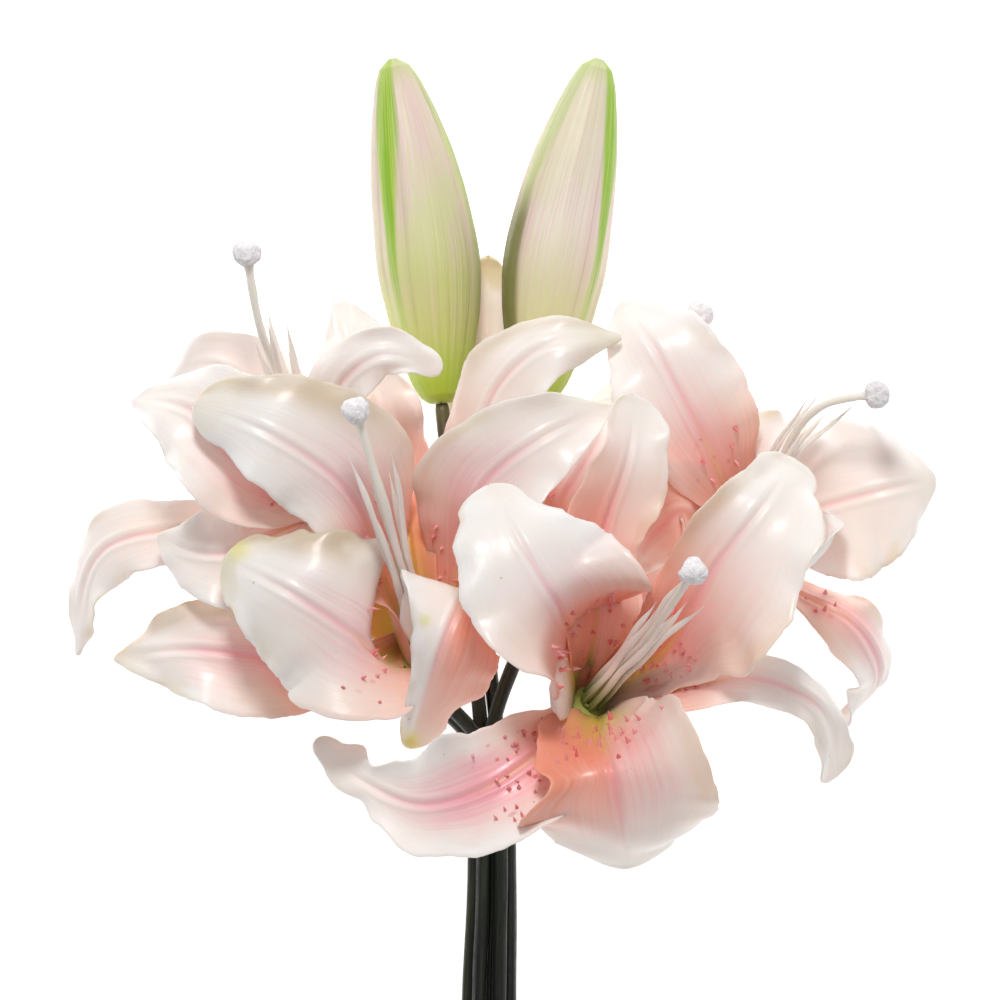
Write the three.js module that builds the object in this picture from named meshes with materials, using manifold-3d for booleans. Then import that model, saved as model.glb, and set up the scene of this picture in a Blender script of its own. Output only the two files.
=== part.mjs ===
// A gathered bunch of cut lilies lying on its back: five open blooms, two closed buds,
// seven green stems and the clear strap that holds the stems together.
// Millimetres. X runs across the bunch, Y from the cut stem ends to the buds, Z up from the table.

import * as THREE from "three";
import Module from "manifold-3d";

const wasm = await Module();
wasm.setup();

// Places are read from a view straight down on the bunch, 1000 by 1000 picture pixels.
// Every place is written as [pixel across, pixel down, height above the table in mm].
const MM_PER_PIXEL = 0.3;
const PICTURE_MIDDLE_ACROSS = 501;
const PICTURE_MIDDLE_DOWN = 682;

// Petals
const PATH_STEPS = 60;
const PETAL_ROWS = 12;
const PETAL_COLUMNS = 4;
const PETAL_MIDDLE_THICKNESS = 0.9;
const PETAL_EDGE_THICKNESS = 0.6;
const PETAL_TIP_HALF_WIDTH = 0.45;
const PETAL_ROOT_HALF_WIDTH = 5.2;
const PETAL_ROOT_DEPTH = 2;
const FACING_REACHED = 0.55;
const BEND_PLACES = [0, 0.5, 1];
const TURN_ROOM = 0.85;
const MARGIN_WAVE_HEIGHT = 2;
const MARGIN_WAVES = 3.3;
const INNER_WHORL = { ring: 5, flare: 14, widest: 0.54, point: 0.85 };
const OUTER_WHORL = { ring: 6.4, flare: 20, widest: 0.5, point: 0.95 };
const OPEN_FROM = 0.2;
const OPEN_REACH = 0.28;
const SEAT_ANGLE = 60;

// Receptacle below each bloom
const NECK_LENGTH = 10;
const NECK_FOOT_RADIUS = 3;
const NECK_WAIST_RADIUS = 5.2;
const NECK_TOP_RADIUS = 7;
const NECK_SIDES = 9;

// Pistil and stamens
const SEAT_GAP = 0.3;
const OVARY_RADIUS = 1.8;
const STYLE_RADIUS = 1.25;
const STIGMA_RADIUS = 4.2;
const PISTIL_SIDES = 6;
const STIGMA_SIDES = 9;
const STAMEN_RING_RADIUS = 3.3;
const STAMEN_RING_BORE = 2.45;
const STAMEN_RING_HEIGHT = 1.7;
const FILAMENT_SHARE = 0.7;
const FILAMENT_FOOT_RADIUS = 0.8;
const FILAMENT_FOOT_SEAT = 2.95;
const FILAMENT_MIDDLE_SEAT = 3.3;
const FILAMENT_TIP_RADIUS = 0.4;
const FILAMENTS = 6;

// Buds
const BUD_RADIUS = 15.7;
const BUD_SIDES = 12;
const BUD_RIB = 0.035;
const BUD_PROFILE = [
  [0, 0.26], [0.02, 0.4], [0.06, 0.54], [0.13, 0.69], [0.24, 0.87], [0.36, 0.99],
  [0.46, 0.99], [0.6, 0.915], [0.72, 0.8], [0.835, 0.625], [0.93, 0.44], [0.975, 0.3], [1, 0.12],
];

// Stems and the strap round them
const STEM_RADIUS = 2.2;
const STEM_SIDES = 8;
const STEM_SPACING = 4.95;
const STEM_ROW_RISE = 0.866;
const STEM_STRAIGHT = 4;
const STEM_STEPS = 3;
const STRAP_CLEARANCE = 0.45;
const STRAP_THICKNESS = 0.8;
const STRAP_WIDTH = 8;
const STRAP_SIDES = 20;
const STRAP_FROM_TOP = 3;

const COLOURS = {
  petal: { color: 0xf6d3cb, roughness: 0.45 },
  pistil: { color: 0xf1efe4, roughness: 0.6 },
  stamen: { color: 0xf0ead6, roughness: 0.5 },
  bud: { color: 0xc9dc9a, roughness: 0.45 },
  stem: { color: 0x25331f, roughness: 0.5 },
  strap: { color: 0xb9c0c0, roughness: 0.15 },
};

// Each petal has a half width, the turn of its inner face away from straight up,
// the bend across it at root, middle and tip (degrees), and the points of its midrib.
// It may have its own places for the bends, a smaller margin wave, half widths along its length
// as [share of the length, left, right], and a left half that lies open near the root.
function petal(halfWidth, facing, bends, midrib, more = {}) {
  return { halfWidth, facing, bends, midrib, ...more };
}

// Petals are listed clockwise round the bloom, inner and outer ones in turn.
const BLOOMS = {
  front_right: {
    firstSeat: 155, throat: [590, 702, 72], axis: [0.42, 0.48, 0.77], stigma: [690, 573, 132],
    petals: [
      petal(34, 16, [60, 75, -15, -20],
        [[568, 640, 88], [558, 606, 112], [550, 592, 117], [528, 555, 119], [489, 487, 106]],
        {
          facingReached: 0.62,
          bendAt: [0, 0.5, 0.64, 1],
          widths: [[0, 5.2], [0.05, 13, 6], [0.11, 22, 9], [0.2, 27, 14], [0.3, 24, 20], [0.42, 23, 28], [0.55, 26, 34],
            [0.69, 24, 24], [0.82, 19, 17], [0.94, 12, 9], [1, 0]],
          openLeft: 1,
          wave: 0.5,
        }),
      petal(18, 20, [60, 45, 20], [[596, 620, 86], [603, 533, 92], [627, 455, 96], [632, 396, 88]],
        {
          widths: [[0, 5.2], [0.16, 10, 11], [0.34, 15, 13], [0.5, 18, 11], [0.6, 16, 12], [0.71, 13, 15],
            [0.86, 8, 11], [1, 0]],
        }),
      petal(22, -10, [60, 50, 5], [[662, 652, 88], [718, 560, 112], [764, 502, 112], [792, 460, 98]],
        {
          widths: [[0, 5.2], [0.25, 12], [0.38, 13, 20], [0.5, 14, 32], [0.62, 14, 32], [0.78, 13, 22],
            [0.93, 9, 10], [1, 0]],
        }),
      petal(10, 0, [60, -20, 10], [[670, 690, 88], [750, 677, 101], [812, 702, 90], [836, 776, 66]],
        { widths: [[0, 5.2], [0.3, 7.5], [0.55, 7], [0.75, 5.5], [0.87, 5], [0.95, 7], [1, 0]] }),
      petal(30, 8, [60, 45, 25, -35, -35], [[600, 736, 96], [612, 771, 112], [622, 828, 104], [624, 866, 84]],
        {
          bendAt: [0, 0.4, 0.6, 0.8, 1],
          widths: [[0, 5.2], [0.3, 21, 19], [0.45, 28, 24], [0.58, 32, 31], [0.75, 26, 30], [0.9, 16, 22], [1, 0]],
        }),
      petal(20, 10, [60, 35, 25, -30],
        [[550, 742, 92], [490, 785, 100], [415, 803, 90], [366, 782, 82], [316, 742, 72]],
        {
          bendAt: [0, 0.5, 0.74, 1],
          widths: [[0, 5.2], [0.12, 15, 8], [0.28, 23, 15], [0.45, 21, 20], [0.6, 16, 18], [0.72, 9, 11],
            [0.8, 5, 5.5], [0.9, 6, 8], [0.96, 5, 6], [1, 0]],
        }),
    ],
  },
  front_left: {
    firstSeat: 90, throat: [424, 655, 62], axis: [-0.18, 0.7, 0.69], stigma: [358, 415, 118],
    petals: [
      petal(13, -20, [30, 20, 15], [[412, 565, 64], [405, 485, 54], [398, 425, 50], [384, 372, 46]],
        {
          widths: [[0, 5.2], [0.06, 15, 6], [0.14, 22, 6.5], [0.26, 21, 7.5], [0.38, 16, 8.5], [0.54, 13, 11],
            [0.8, 8, 8], [1, 0]],
        }),
      petal(19, -12, [30, 25, 15], [[460, 568, 72], [486, 482, 88], [545, 436, 94], [612, 408, 82]]),
      petal(16, -10, [60, -10, -30, -20],
        [[446, 622, 80], [464, 594, 97], [448, 630, 105], [427, 688, 97], [409, 746, 80]],
        {
          facingReached: 0.5,
          bendAt: [0, 0.4, 0.6, 1],
          widths: [[0, 5.2], [0.3, 7, 16], [0.43, 12, 20], [0.6, 20, 9], [0.75, 18, 5], [0.88, 9, 4], [1, 0]],
          wave: 0.5,
        }),
      petal(27, 0, [30, -36, -28], [[392, 668, 76], [346, 627, 95], [284, 588, 97], [226, 560, 84]],
        {
          widths: [[0, 5.2], [0.12, 10, 12], [0.28, 23, 26], [0.45, 27, 31], [0.62, 24, 26], [0.78, 19, 19],
            [0.91, 12, 12], [1, 0]],
        }),
      petal(24, 10, [40, -5, -25], [[384, 585, 70], [345, 487, 90], [272, 435, 98], [196, 406, 88]],
        { widths: [[0, 5.2], [0.28, 14, 16], [0.45, 15, 23], [0.6, 16, 25], [0.76, 15, 21], [0.91, 9, 13], [1, 0]] }),
      petal(18, 6, [30, 10, -5], [[370, 665, 62], [280, 660, 66], [190, 650, 64], [114, 660, 48]]),
    ],
  },
  back_left: {
    firstSeat: 80, throat: [318, 520, 44], axis: [-0.2, 0.85, 0.45], stigma: [248, 258, 92],
    styleVia: [258, 318, 84], filamentShare: 0.62,
    petals: [
      petal(13, 0, [60, 10, 5], [[330, 440, 38], [350, 380, 38], [352, 335, 38], [334, 298, 32]]),
      petal(15, -25, [60, -20, -20], [[340, 445, 64], [340, 385, 76], [378, 356, 82], [440, 371, 76]],
        { widths: [[0, 5.2], [0.4, 13, 13], [0.6, 10, 10], [0.8, 8, 6], [0.93, 5, 3], [1, 0]] }),
      petal(17, 0, [60, -5, 0], [[285, 530, 66], [240, 552, 72], [195, 552, 70], [158, 536, 62]]),
      petal(21, 12, [60, 15, 0], [[280, 492, 68], [240, 450, 80], [190, 410, 78], [132, 402, 64]]),
      petal(11, 20, [60, -15, -20], [[270, 540, 44], [190, 530, 52], [110, 545, 44], [74, 655, 18]]),
      petal(14, 0, [60, -20, -10], [[284, 455, 46], [255, 390, 54], [215, 365, 56], [165, 385, 44]]),
    ],
  },
  right: {
    firstSeat: 125, throat: [745, 540, 44], axis: [0.3, 0.68, 0.66], stigma: [872, 395, 92],
    styleVia: [829, 403, 87],
    petals: [
      petal(19, 0, [60, 0, -20], [[712, 455, 64], [684, 400, 72], [655, 348, 72], [622, 304, 56]],
        { point: 0.6 }),
      petal(18, 0, [60, 10, 0], [[750, 492, 50], [768, 462, 56], [785, 445, 56], [806, 426, 48]]),
      petal(24, 0, [60, -5, -20], [[795, 518, 54], [845, 500, 66], [895, 488, 68], [936, 480, 60]],
        { point: 0.7 }),
      petal(9, -45, [60, 15, 10], [[785, 560, 62], [812, 560, 74], [824, 545, 74], [822, 512, 64]]),
      petal(10, -35, [60, -25, -20], [[790, 590, 58], [850, 622, 62], [880, 675, 44], [828, 735, 20]]),
      petal(15, 0, [60, 0, -15], [[700, 530, 58], [680, 513, 66], [658, 530, 63], [634, 572, 47]]),
    ],
  },
  back: {
    firstSeat: 150, throat: [560, 570, 32], axis: [0.45, 0.85, 0.15], stigma: [698, 316, 50],
    petals: [
      petal(15, -35, [60, -20, -30], [[492, 490, 50], [488, 405, 66], [545, 346, 76], [620, 338, 70]]),
      petal(17, 0, [60, 0, -15], [[505, 560, 15], [440, 540, 8], [380, 520, 4], [310, 495, 0.3]]),
      petal(12, 0, [60, 10, 10], [[515, 500, 14], [490, 410, 5], [487, 330, 2.5], [488, 254, 3]],
        { point: 0.5 }),
      petal(14, 0, [60, 0, -15], [[590, 500, 24], [620, 440, 17], [655, 385, 12], [690, 345, 4]]),
      petal(14, 0, [60, 0, -15], [[610, 592, 24], [660, 602, 13], [710, 604, 5], [765, 610, 0.4]]),
      petal(13, 0, [60, 25, 10], [[565, 500, 52], [590, 455, 60], [606, 425, 60], [616, 398, 50]]),
    ],
  },
};

const BUDS = {
  left: { foot: [441, 402, 19], middle: [427, 262, 15], tip: [391, 54, 13] },
  right: { foot: [537, 400, 19], middle: [554, 262, 15.2], tip: [600, 54, 13] },
};

// Where each stem lies in the bundle (column, row), and where it passes on its way there.
const STEMS = {
  front_right: { bloom: "front_right", column: 0.5, row: 1, via: [[552, 735, 52]] },
  front_left: { bloom: "front_left", column: -0.5, row: 1, via: [[448, 705, 52]] },
  back_left: { bloom: "back_left", column: -1, row: 0, via: [[345, 590, 30], [420, 690, 34]] },
  right: { bloom: "right", column: 1, row: 0, via: [[705, 600, 24], [600, 705, 30]] },
  back: { bloom: "back", column: 0, row: 0, via: [[520, 650, 38]] },
  bud_left: { bud: "left", column: -0.5, row: -1, via: [[449, 470, 22], [468, 620, 30]] },
  bud_right: { bud: "right", column: 0.5, row: -1, via: [[528, 440, 21], [492, 520, 27], [488, 640, 29]] },
};

// The bundle's middle line from the strap to the cut ends, and how far the stems spread there.
const BUNDLE = [
  { place: [490, 755, 43], spread: 1 },
  { place: [492, 860, 36], spread: 1.04 },
  { place: [489, 1000, 26.5], spread: 1.22 },
  { place: [486, 1310, 8], spread: 1.4 },
];

// Small helpers
function fromPicture([across, down, height]) {
  return new THREE.Vector3(
    (across - PICTURE_MIDDLE_ACROSS) * MM_PER_PIXEL,
    (PICTURE_MIDDLE_DOWN - down) * MM_PER_PIXEL,
    height,
  );
}

function smooth(t) {
  const x = Math.min(Math.max(t, 0), 1);
  return x * x * (3 - 2 * x);
}

function radians(degrees) {
  return (degrees * Math.PI) / 180;
}

function along(from, direction, distance) {
  return from.clone().addScaledVector(direction, distance);
}

// Curve through the points that leaves the first one along a given direction,
// and reaches the last one along another where one is given.
function curveThrough(points, start, perSpan, end = null) {
  const last = points.length - 1;
  const spans = [];
  for (let i = 0; i < last; i += 1) {
    spans.push(points[i].distanceTo(points[i + 1]));
  }
  const slopes = points.map(() => new THREE.Vector3());
  slopes[0].copy(start).normalize();
  for (let i = 1; i < last; i += 1) {
    const before = points[i].clone().sub(points[i - 1]).multiplyScalar(spans[i] / spans[i - 1]);
    const after = points[i + 1].clone().sub(points[i]).multiplyScalar(spans[i - 1] / spans[i]);
    slopes[i].copy(before.add(after)).divideScalar(spans[i - 1] + spans[i]);
  }
  if (end) {
    slopes[last].copy(end);
  } else {
    const chord = points[last].clone().sub(points[last - 1]).divideScalar(spans[last - 1]);
    slopes[last].copy(chord.multiplyScalar(1.5).addScaledVector(slopes[last - 1], -0.5));
  }
  const out = [];
  for (let i = 0; i < last; i += 1) {
    const steps = i === last - 1 ? perSpan - 1 : perSpan;
    for (let k = 0; k < perSpan; k += 1) {
      const t = k / steps;
      const t2 = t * t;
      const t3 = t2 * t;
      const place = points[i].clone().multiplyScalar(2 * t3 - 3 * t2 + 1);
      place.addScaledVector(slopes[i], (t3 - 2 * t2 + t) * spans[i]);
      place.addScaledVector(points[i + 1], -2 * t3 + 3 * t2);
      place.addScaledVector(slopes[i + 1], (t3 - t2) * spans[i]);
      out.push(place);
    }
  }
  return out;
}

function evenlySpaced(points, steps) {
  const reach = [0];
  for (let i = 1; i < points.length; i += 1) {
    reach.push(reach[i - 1] + points[i].distanceTo(points[i - 1]));
  }
  const total = reach[reach.length - 1];
  const out = [];
  let span = 0;
  for (let k = 0; k <= steps; k += 1) {
    const goal = (total * k) / steps;
    while (span < points.length - 2 && reach[span + 1] < goal) {
      span += 1;
    }
    const part = (goal - reach[span]) / (reach[span + 1] - reach[span]);
    out.push(points[span].clone().lerp(points[span + 1], Math.min(part, 1)));
  }
  return out;
}

// Directions along a line and a side direction carried down it without twisting.
function carriedSides(points, firstSide) {
  const last = points.length - 1;
  const heads = points.map((point, i) => {
    const next = points[Math.min(i + 1, last)];
    const previous = points[Math.max(i - 1, 0)];
    return next.clone().sub(previous).normalize();
  });
  const sides = [firstSide.clone().addScaledVector(heads[0], -firstSide.dot(heads[0])).normalize()];
  for (let i = 0; i < last; i += 1) {
    const step = points[i + 1].clone().sub(points[i]);
    const size = step.lengthSq();
    const side = along(sides[i], step, (-2 * step.dot(sides[i])) / size);
    const head = along(heads[i], step, (-2 * step.dot(heads[i])) / size);
    const turn = heads[i + 1].clone().sub(head);
    if (turn.lengthSq() > 1e-12) {
      side.addScaledVector(turn, (-2 * turn.dot(side)) / turn.lengthSq());
    }
    side.addScaledVector(heads[i + 1], -side.dot(heads[i + 1]));
    sides.push(side.normalize());
  }
  return { heads, sides };
}

function toSolid(places, faces) {
  const vertProperties = new Float32Array(places.length * 3);
  places.forEach((place, i) => vertProperties.set([place.x, place.y, place.z], i * 3));
  const triVerts = new Uint32Array(faces.flat());
  const mesh = new wasm.Mesh({ numProp: 3, vertProperties, triVerts });
  return new wasm.Manifold(mesh);
}

function outward(places, faces) {
  let volume = 0;
  for (const [a, b, c] of faces) {
    const normal = places[b].clone().cross(places[c]);
    volume += places[a].dot(normal);
  }
  return volume < 0 ? faces.map(([a, b, c]) => [a, c, b]) : faces;
}

// Closed round tube along a line; the radius may differ at each ring and round the ring.
function tube(points, radii, sides, shape = () => 1) {
  const heads = carriedSides(points, new THREE.Vector3(1, 0, 0)).heads;
  const firstSide = heads[0].clone().cross(new THREE.Vector3(0.3, 0.2, 1)).normalize();
  const frame = carriedSides(points, firstSide);
  const places = [];
  points.forEach((point, i) => {
    const side = frame.sides[i];
    const rise = side.clone().cross(frame.heads[i]);
    for (let k = 0; k < sides; k += 1) {
      const angle = (2 * Math.PI * k) / sides;
      const radius = radii[i] * shape(angle, i);
      const place = along(point, side, radius * Math.cos(angle));
      places.push(place.addScaledVector(rise, radius * Math.sin(angle)));
    }
  });
  const faces = [];
  for (let i = 0; i < points.length - 1; i += 1) {
    for (let k = 0; k < sides; k += 1) {
      const a = i * sides + k;
      const b = i * sides + ((k + 1) % sides);
      faces.push([a, a + sides, b], [b, a + sides, b + sides]);
    }
  }
  const top = (points.length - 1) * sides;
  for (let k = 1; k < sides - 1; k += 1) {
    faces.push([0, k, k + 1], [top, top + k + 1, top + k]);
  }
  return toSolid(places, outward(places, faces));
}

// Petals
function bloomFrame(bloom) {
  const axis = new THREE.Vector3(...bloom.axis).normalize();
  const east = new THREE.Vector3(0, 1, 0).cross(axis).normalize();
  const north = axis.clone().cross(east);
  return { throat: fromPicture(bloom.throat), axis, east, north };
}

function roundTheAxis(frame, degrees) {
  const angle = radians(degrees);
  return frame.east.clone().multiplyScalar(Math.cos(angle)).addScaledVector(frame.north, Math.sin(angle));
}

// The petal as a bent sheet: place(u, v) with u from root to tip and v from edge to edge.
function petalSheet(bloom, spec, index) {
  const whorl = index % 2 ? OUTER_WHORL : INNER_WHORL;
  const frame = bloomFrame(bloom);
  const outwards = roundTheAxis(frame, bloom.firstSeat - SEAT_ANGLE * index);
  const root = along(along(frame.throat, outwards, whorl.ring), frame.axis, -PETAL_ROOT_DEPTH);
  const flare = radians(whorl.flare);
  const start = along(frame.axis.clone().multiplyScalar(Math.cos(flare)), outwards, Math.sin(flare));
  const points = [root, ...spec.midrib.map(fromPicture)];
  const line = evenlySpaced(curveThrough(points, start, 20), PATH_STEPS);
  const { heads, sides } = carriedSides(line, frame.axis.clone().cross(outwards));
  const facingReached = spec.facingReached ?? FACING_REACHED;
  const knee = Math.round(facingReached * PATH_STEPS);

  const inner = heads.map((head, i) => sides[i].clone().cross(head));
  if (inner[0].dot(outwards) > 0) {
    inner.forEach((direction) => direction.negate());
  }
  const up = new THREE.Vector3(0, 0, 1);
  up.addScaledVector(heads[knee], -heads[knee].z).normalize();
  const gap = Math.atan2(inner[knee].clone().cross(up).dot(heads[knee]), inner[knee].dot(up));
  const full = 2 * Math.PI;
  const turn = ((((gap + radians(spec.facing) + Math.PI) % full) + full) % full) - Math.PI;

  const faces = heads.map((head, i) => {
    const roll = turn * smooth(i / PATH_STEPS / facingReached);
    const across = head.clone().cross(inner[i]);
    return inner[i].clone().multiplyScalar(Math.cos(roll)).addScaledVector(across, Math.sin(roll));
  });
  const across = heads.map((head, i) => faces[i].clone().cross(head));
  const rooms = [-1, 1].map((sign) => roomInsideTurn(line, across, sign));
  const waveHeight = MARGIN_WAVE_HEIGHT * (spec.wave ?? 1);
  const phase = index * 2.4;

  function place(u, v) {
    const step = Math.min(Math.floor(u * PATH_STEPS), PATH_STEPS - 1);
    const part = u * PATH_STEPS - step;
    const middle = line[step].clone().lerp(line[step + 1], part);
    const face = faces[step].clone().lerp(faces[step + 1], part);
    const side = across[step].clone().lerp(across[step + 1], part);
    const [rightRoom, leftRoom] = rooms.map((room) => room[step] + (room[step + 1] - room[step]) * part);
    const widest = Math.max(rightRoom, leftRoom);
    const sideRoom = v > 0 ? leftRoom : rightRoom;
    const room = v === 0 ? widest : sideRoom;
    const width = (halfWidthAt(u, v, spec, whorl) ** -4 + room ** -4) ** -0.25;
    const opened = v > 0 ? (spec.openLeft ?? 0) * (1 - smooth((u - OPEN_FROM) / OPEN_REACH)) : 0;
    const bend = bendAt(u, spec) * Math.max(1 - opened, 0.02);
    const edge = Math.abs(v) ** 3;
    const wave = Math.sin(2 * Math.PI * MARGIN_WAVES * u + phase + Math.sign(v) * 1.1);
    const wavy = smooth((u - 0.2) / 0.25) * smooth((1 - u) / 0.12);
    const lift = (width * (1 - Math.cos(bend * v))) / bend + waveHeight * wavy * edge * wave;
    return along(along(middle, side, (width * Math.sin(bend * v)) / bend), face, lift);
  }
  return { place, face: (u) => faces[Math.round(u * PATH_STEPS)] };
}

// Half width at a share u of the length. Seen from root to tip, the left side is where v is above 0.
function halfWidthAt(u, v, spec, whorl) {
  if (spec.widths) {
    const rows = spec.widths.map((row) => [row[0], row[1], row[row.length - 1]]);
    let width = PETAL_ROOT_HALF_WIDTH;
    for (let k = 1; k < rows.length; k += 1) {
      const [before, left0, right0] = rows[k - 1];
      const [place, left1, right1] = rows[k];
      const share = Math.min(Math.max((u - before) / (place - before), 0), 1);
      const eased = k === rows.length - 1 ? 1 - Math.sqrt(1 - share * share) : smooth(share);
      width += (v > 0 ? left1 - left0 : right1 - right0) * eased;
    }
    return width + PETAL_TIP_HALF_WIDTH;
  }
  const claw = PETAL_ROOT_HALF_WIDTH / spec.halfWidth;
  const swell = claw + (1 - claw) * smooth(u / whorl.widest);
  const rest = Math.max((u - whorl.widest) / (1 - whorl.widest), 0);
  const taper = Math.max(Math.cos((Math.min(rest, 1) * Math.PI) / 2), 0) ** (spec.point ?? whorl.point);
  return spec.halfWidth * swell * taper + PETAL_TIP_HALF_WIDTH;
}

// Bend across the petal at a share u of its length, in radians
function bendAt(u, spec) {
  const places = spec.bendAt ?? BEND_PLACES;
  const bends = spec.bends.map(radians);
  let bend = bends[0];
  for (let k = 1; k < bends.length; k += 1) {
    bend += (bends[k] - bends[k - 1]) * smooth((u - places[k - 1]) / (places[k] - places[k - 1]));
  }
  return Math.abs(bend) < 0.001 ? 0.001 : bend;
}

// How wide the petal may be on one side before its inner edge would fold over in a turn
function roomInsideTurn(line, across, sign) {
  const last = line.length - 1;
  const size = line[1].distanceTo(line[0]);
  const heads = line.map((point, i) => {
    const next = line[Math.min(i + 1, last)];
    return next.clone().sub(line[Math.max(i - 1, 0)]).normalize();
  });
  const room = line.map((point, i) => {
    const turn = heads[Math.min(i + 1, last)].clone().sub(heads[Math.max(i - 1, 0)]);
    const curve = (turn.dot(across[i]) / (2 * size)) * sign;
    return TURN_ROOM / Math.max(curve, 0.012);
  });
  function nearby(values, i, reach) {
    const places = Array.from({ length: 2 * reach + 1 }, (unused, k) => i + k - reach);
    return places.map((place) => values[Math.min(Math.max(place, 0), last)]);
  }
  const least = room.map((unused, i) => Math.min(...nearby(room, i, 4)));
  return least.map((unused, i) => nearby(least, i, 4).reduce((sum, value) => sum + value, 0) / 9);
}

function petalSolid(bloom, spec, index) {
  const sheet = petalSheet(bloom, spec, index);
  const rowSize = PETAL_COLUMNS + 1;
  const count = (PETAL_ROWS + 1) * rowSize;
  const front = [];
  const back = [];
  for (let i = 0; i <= PETAL_ROWS; i += 1) {
    for (let j = 0; j <= PETAL_COLUMNS; j += 1) {
      const u = i / PETAL_ROWS;
      const v = (2 * j) / PETAL_COLUMNS - 1;
      const place = sheet.place(u, v);
      const before = sheet.place(Math.max(u - 0.004, 0), v);
      const after = sheet.place(Math.min(u + 0.004, 1), v);
      const left = sheet.place(u, v - 0.02);
      const right = sheet.place(u, v + 0.02);
      const normal = right.sub(left).cross(after.sub(before)).normalize();
      if (normal.dot(sheet.face(u)) < 0) {
        normal.negate();
      }
      const edge = v ** 4;
      const thickness = PETAL_MIDDLE_THICKNESS + (PETAL_EDGE_THICKNESS - PETAL_MIDDLE_THICKNESS) * edge;
      front.push(along(place, normal, thickness / 2));
      back.push(along(place, normal, -thickness / 2));
    }
  }
  const faces = [];
  function both(a, b, c) {
    faces.push([a, b, c], [a + count, c + count, b + count]);
  }
  for (let i = 0; i < PETAL_ROWS; i += 1) {
    for (let j = 0; j < PETAL_COLUMNS; j += 1) {
      const a = i * rowSize + j;
      const b = a + rowSize;
      if ((i + j) % 2) {
        both(a, b, b + 1);
        both(a, b + 1, a + 1);
      } else {
        both(a, b, a + 1);
        both(b, b + 1, a + 1);
      }
    }
  }
  const rim = [];
  for (let i = 0; i <= PETAL_ROWS; i += 1) {
    rim.push(i * rowSize);
  }
  for (let j = 1; j <= PETAL_COLUMNS; j += 1) {
    rim.push(PETAL_ROWS * rowSize + j);
  }
  for (let i = PETAL_ROWS - 1; i >= 0; i -= 1) {
    rim.push(i * rowSize + PETAL_COLUMNS);
  }
  for (let j = PETAL_COLUMNS - 1; j > 0; j -= 1) {
    rim.push(j);
  }
  rim.forEach((a, i) => {
    const b = rim[(i + 1) % rim.length];
    faces.push([a, a + count, b], [b, a + count, b + count]);
  });
  const places = [...front, ...back];
  return toSolid(places, outward(places, faces));
}

function aboveTable(solid) {
  return solid.trimByPlane([0, 0, 1], 0);
}

function makePetals(bloom) {
  const { throat, axis } = bloomFrame(bloom);
  const neck = [along(throat, axis, -NECK_LENGTH), along(throat, axis, -NECK_LENGTH / 2), throat];
  let body = tube(neck, [NECK_FOOT_RADIUS, NECK_WAIST_RADIUS, NECK_TOP_RADIUS], NECK_SIDES);
  bloom.petals.forEach((spec, index) => {
    body = body.add(petalSolid(bloom, spec, index));
  });
  return aboveTable(withoutPockets(body));
}

// Sealed pockets where two petals cross are filled in
function withoutPockets(body) {
  const shells = body.decompose().filter((shell) => shell.volume() > 0);
  return wasm.Manifold.union(shells);
}

// Pistil with its three-lobed stigma
function makePistil(bloom) {
  const { throat, axis } = bloomFrame(bloom);
  const stigma = fromPicture(bloom.stigma);
  const length = stigma.distanceTo(throat);
  const points = [along(throat, axis, SEAT_GAP), along(throat, axis, length * 0.52), stigma];
  if (bloom.styleVia) {
    points.splice(1, 1, along(throat, axis, length * 0.38), fromPicture(bloom.styleVia));
  }
  const line = curveThrough(points, axis, bloom.styleVia ? 4 : 5);
  const radii = line.map((point, i) => (i < 3 ? OVARY_RADIUS : STYLE_RADIUS));
  radii[radii.length - 1] = STYLE_RADIUS * 1.5;
  const style = tube(line, radii, PISTIL_SIDES);
  const end = line[line.length - 1].clone().sub(line[line.length - 2]).normalize();
  const rings = [-2.6, 0, 3.6, 5.2].map((reach) => along(stigma, end, reach));
  const sizes = [2.2, STIGMA_RADIUS, STIGMA_RADIUS * 0.95, STIGMA_RADIUS * 0.5];
  const lobes = (angle) => 1 + 0.12 * Math.cos(3 * angle);
  return style.add(tube(rings, sizes, STIGMA_SIDES, lobes));
}

// Six pointed filaments on one ring round the ovary
function makeStamens(bloom, number) {
  const frame = bloomFrame(bloom);
  const { throat, axis } = frame;
  const lean = fromPicture(bloom.stigma).sub(throat);
  const length = lean.length();
  lean.normalize();
  const foot = along(throat, axis, SEAT_GAP);
  const top = along(foot, axis, STAMEN_RING_HEIGHT);
  const bore = [along(throat, axis, -1), along(top, axis, 1)];
  let body = tube([foot, top], [STAMEN_RING_RADIUS, STAMEN_RING_RADIUS], NECK_SIDES);
  body = body.subtract(tube(bore, [STAMEN_RING_BORE, STAMEN_RING_BORE], NECK_SIDES));
  for (let i = 0; i < FILAMENTS; i += 1) {
    const outwards = roundTheAxis(frame, bloom.firstSeat + SEAT_ANGLE / 2 + SEAT_ANGLE * i);
    const draw = (i * 0.37 + 0.21 * number) % 1;
    const reach = length * ((bloom.filamentShare ?? FILAMENT_SHARE) + 0.22 * draw);
    const tip = along(along(throat, axis, reach * 0.55), lean, reach * 0.45);
    const points = [
      along(along(throat, axis, 1), outwards, FILAMENT_FOOT_SEAT),
      along(along(throat, axis, reach * 0.5), outwards, FILAMENT_MIDDLE_SEAT),
      along(tip, outwards, 4.4 + 3 * draw),
    ];
    const line = curveThrough(points, axis, 3);
    const slimming = (FILAMENT_TIP_RADIUS - FILAMENT_FOOT_RADIUS) / (line.length - 1);
    const radii = line.map((point, k) => FILAMENT_FOOT_RADIUS + slimming * k);
    body = body.add(tube(line, radii, 3));
  }
  return body;
}

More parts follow.
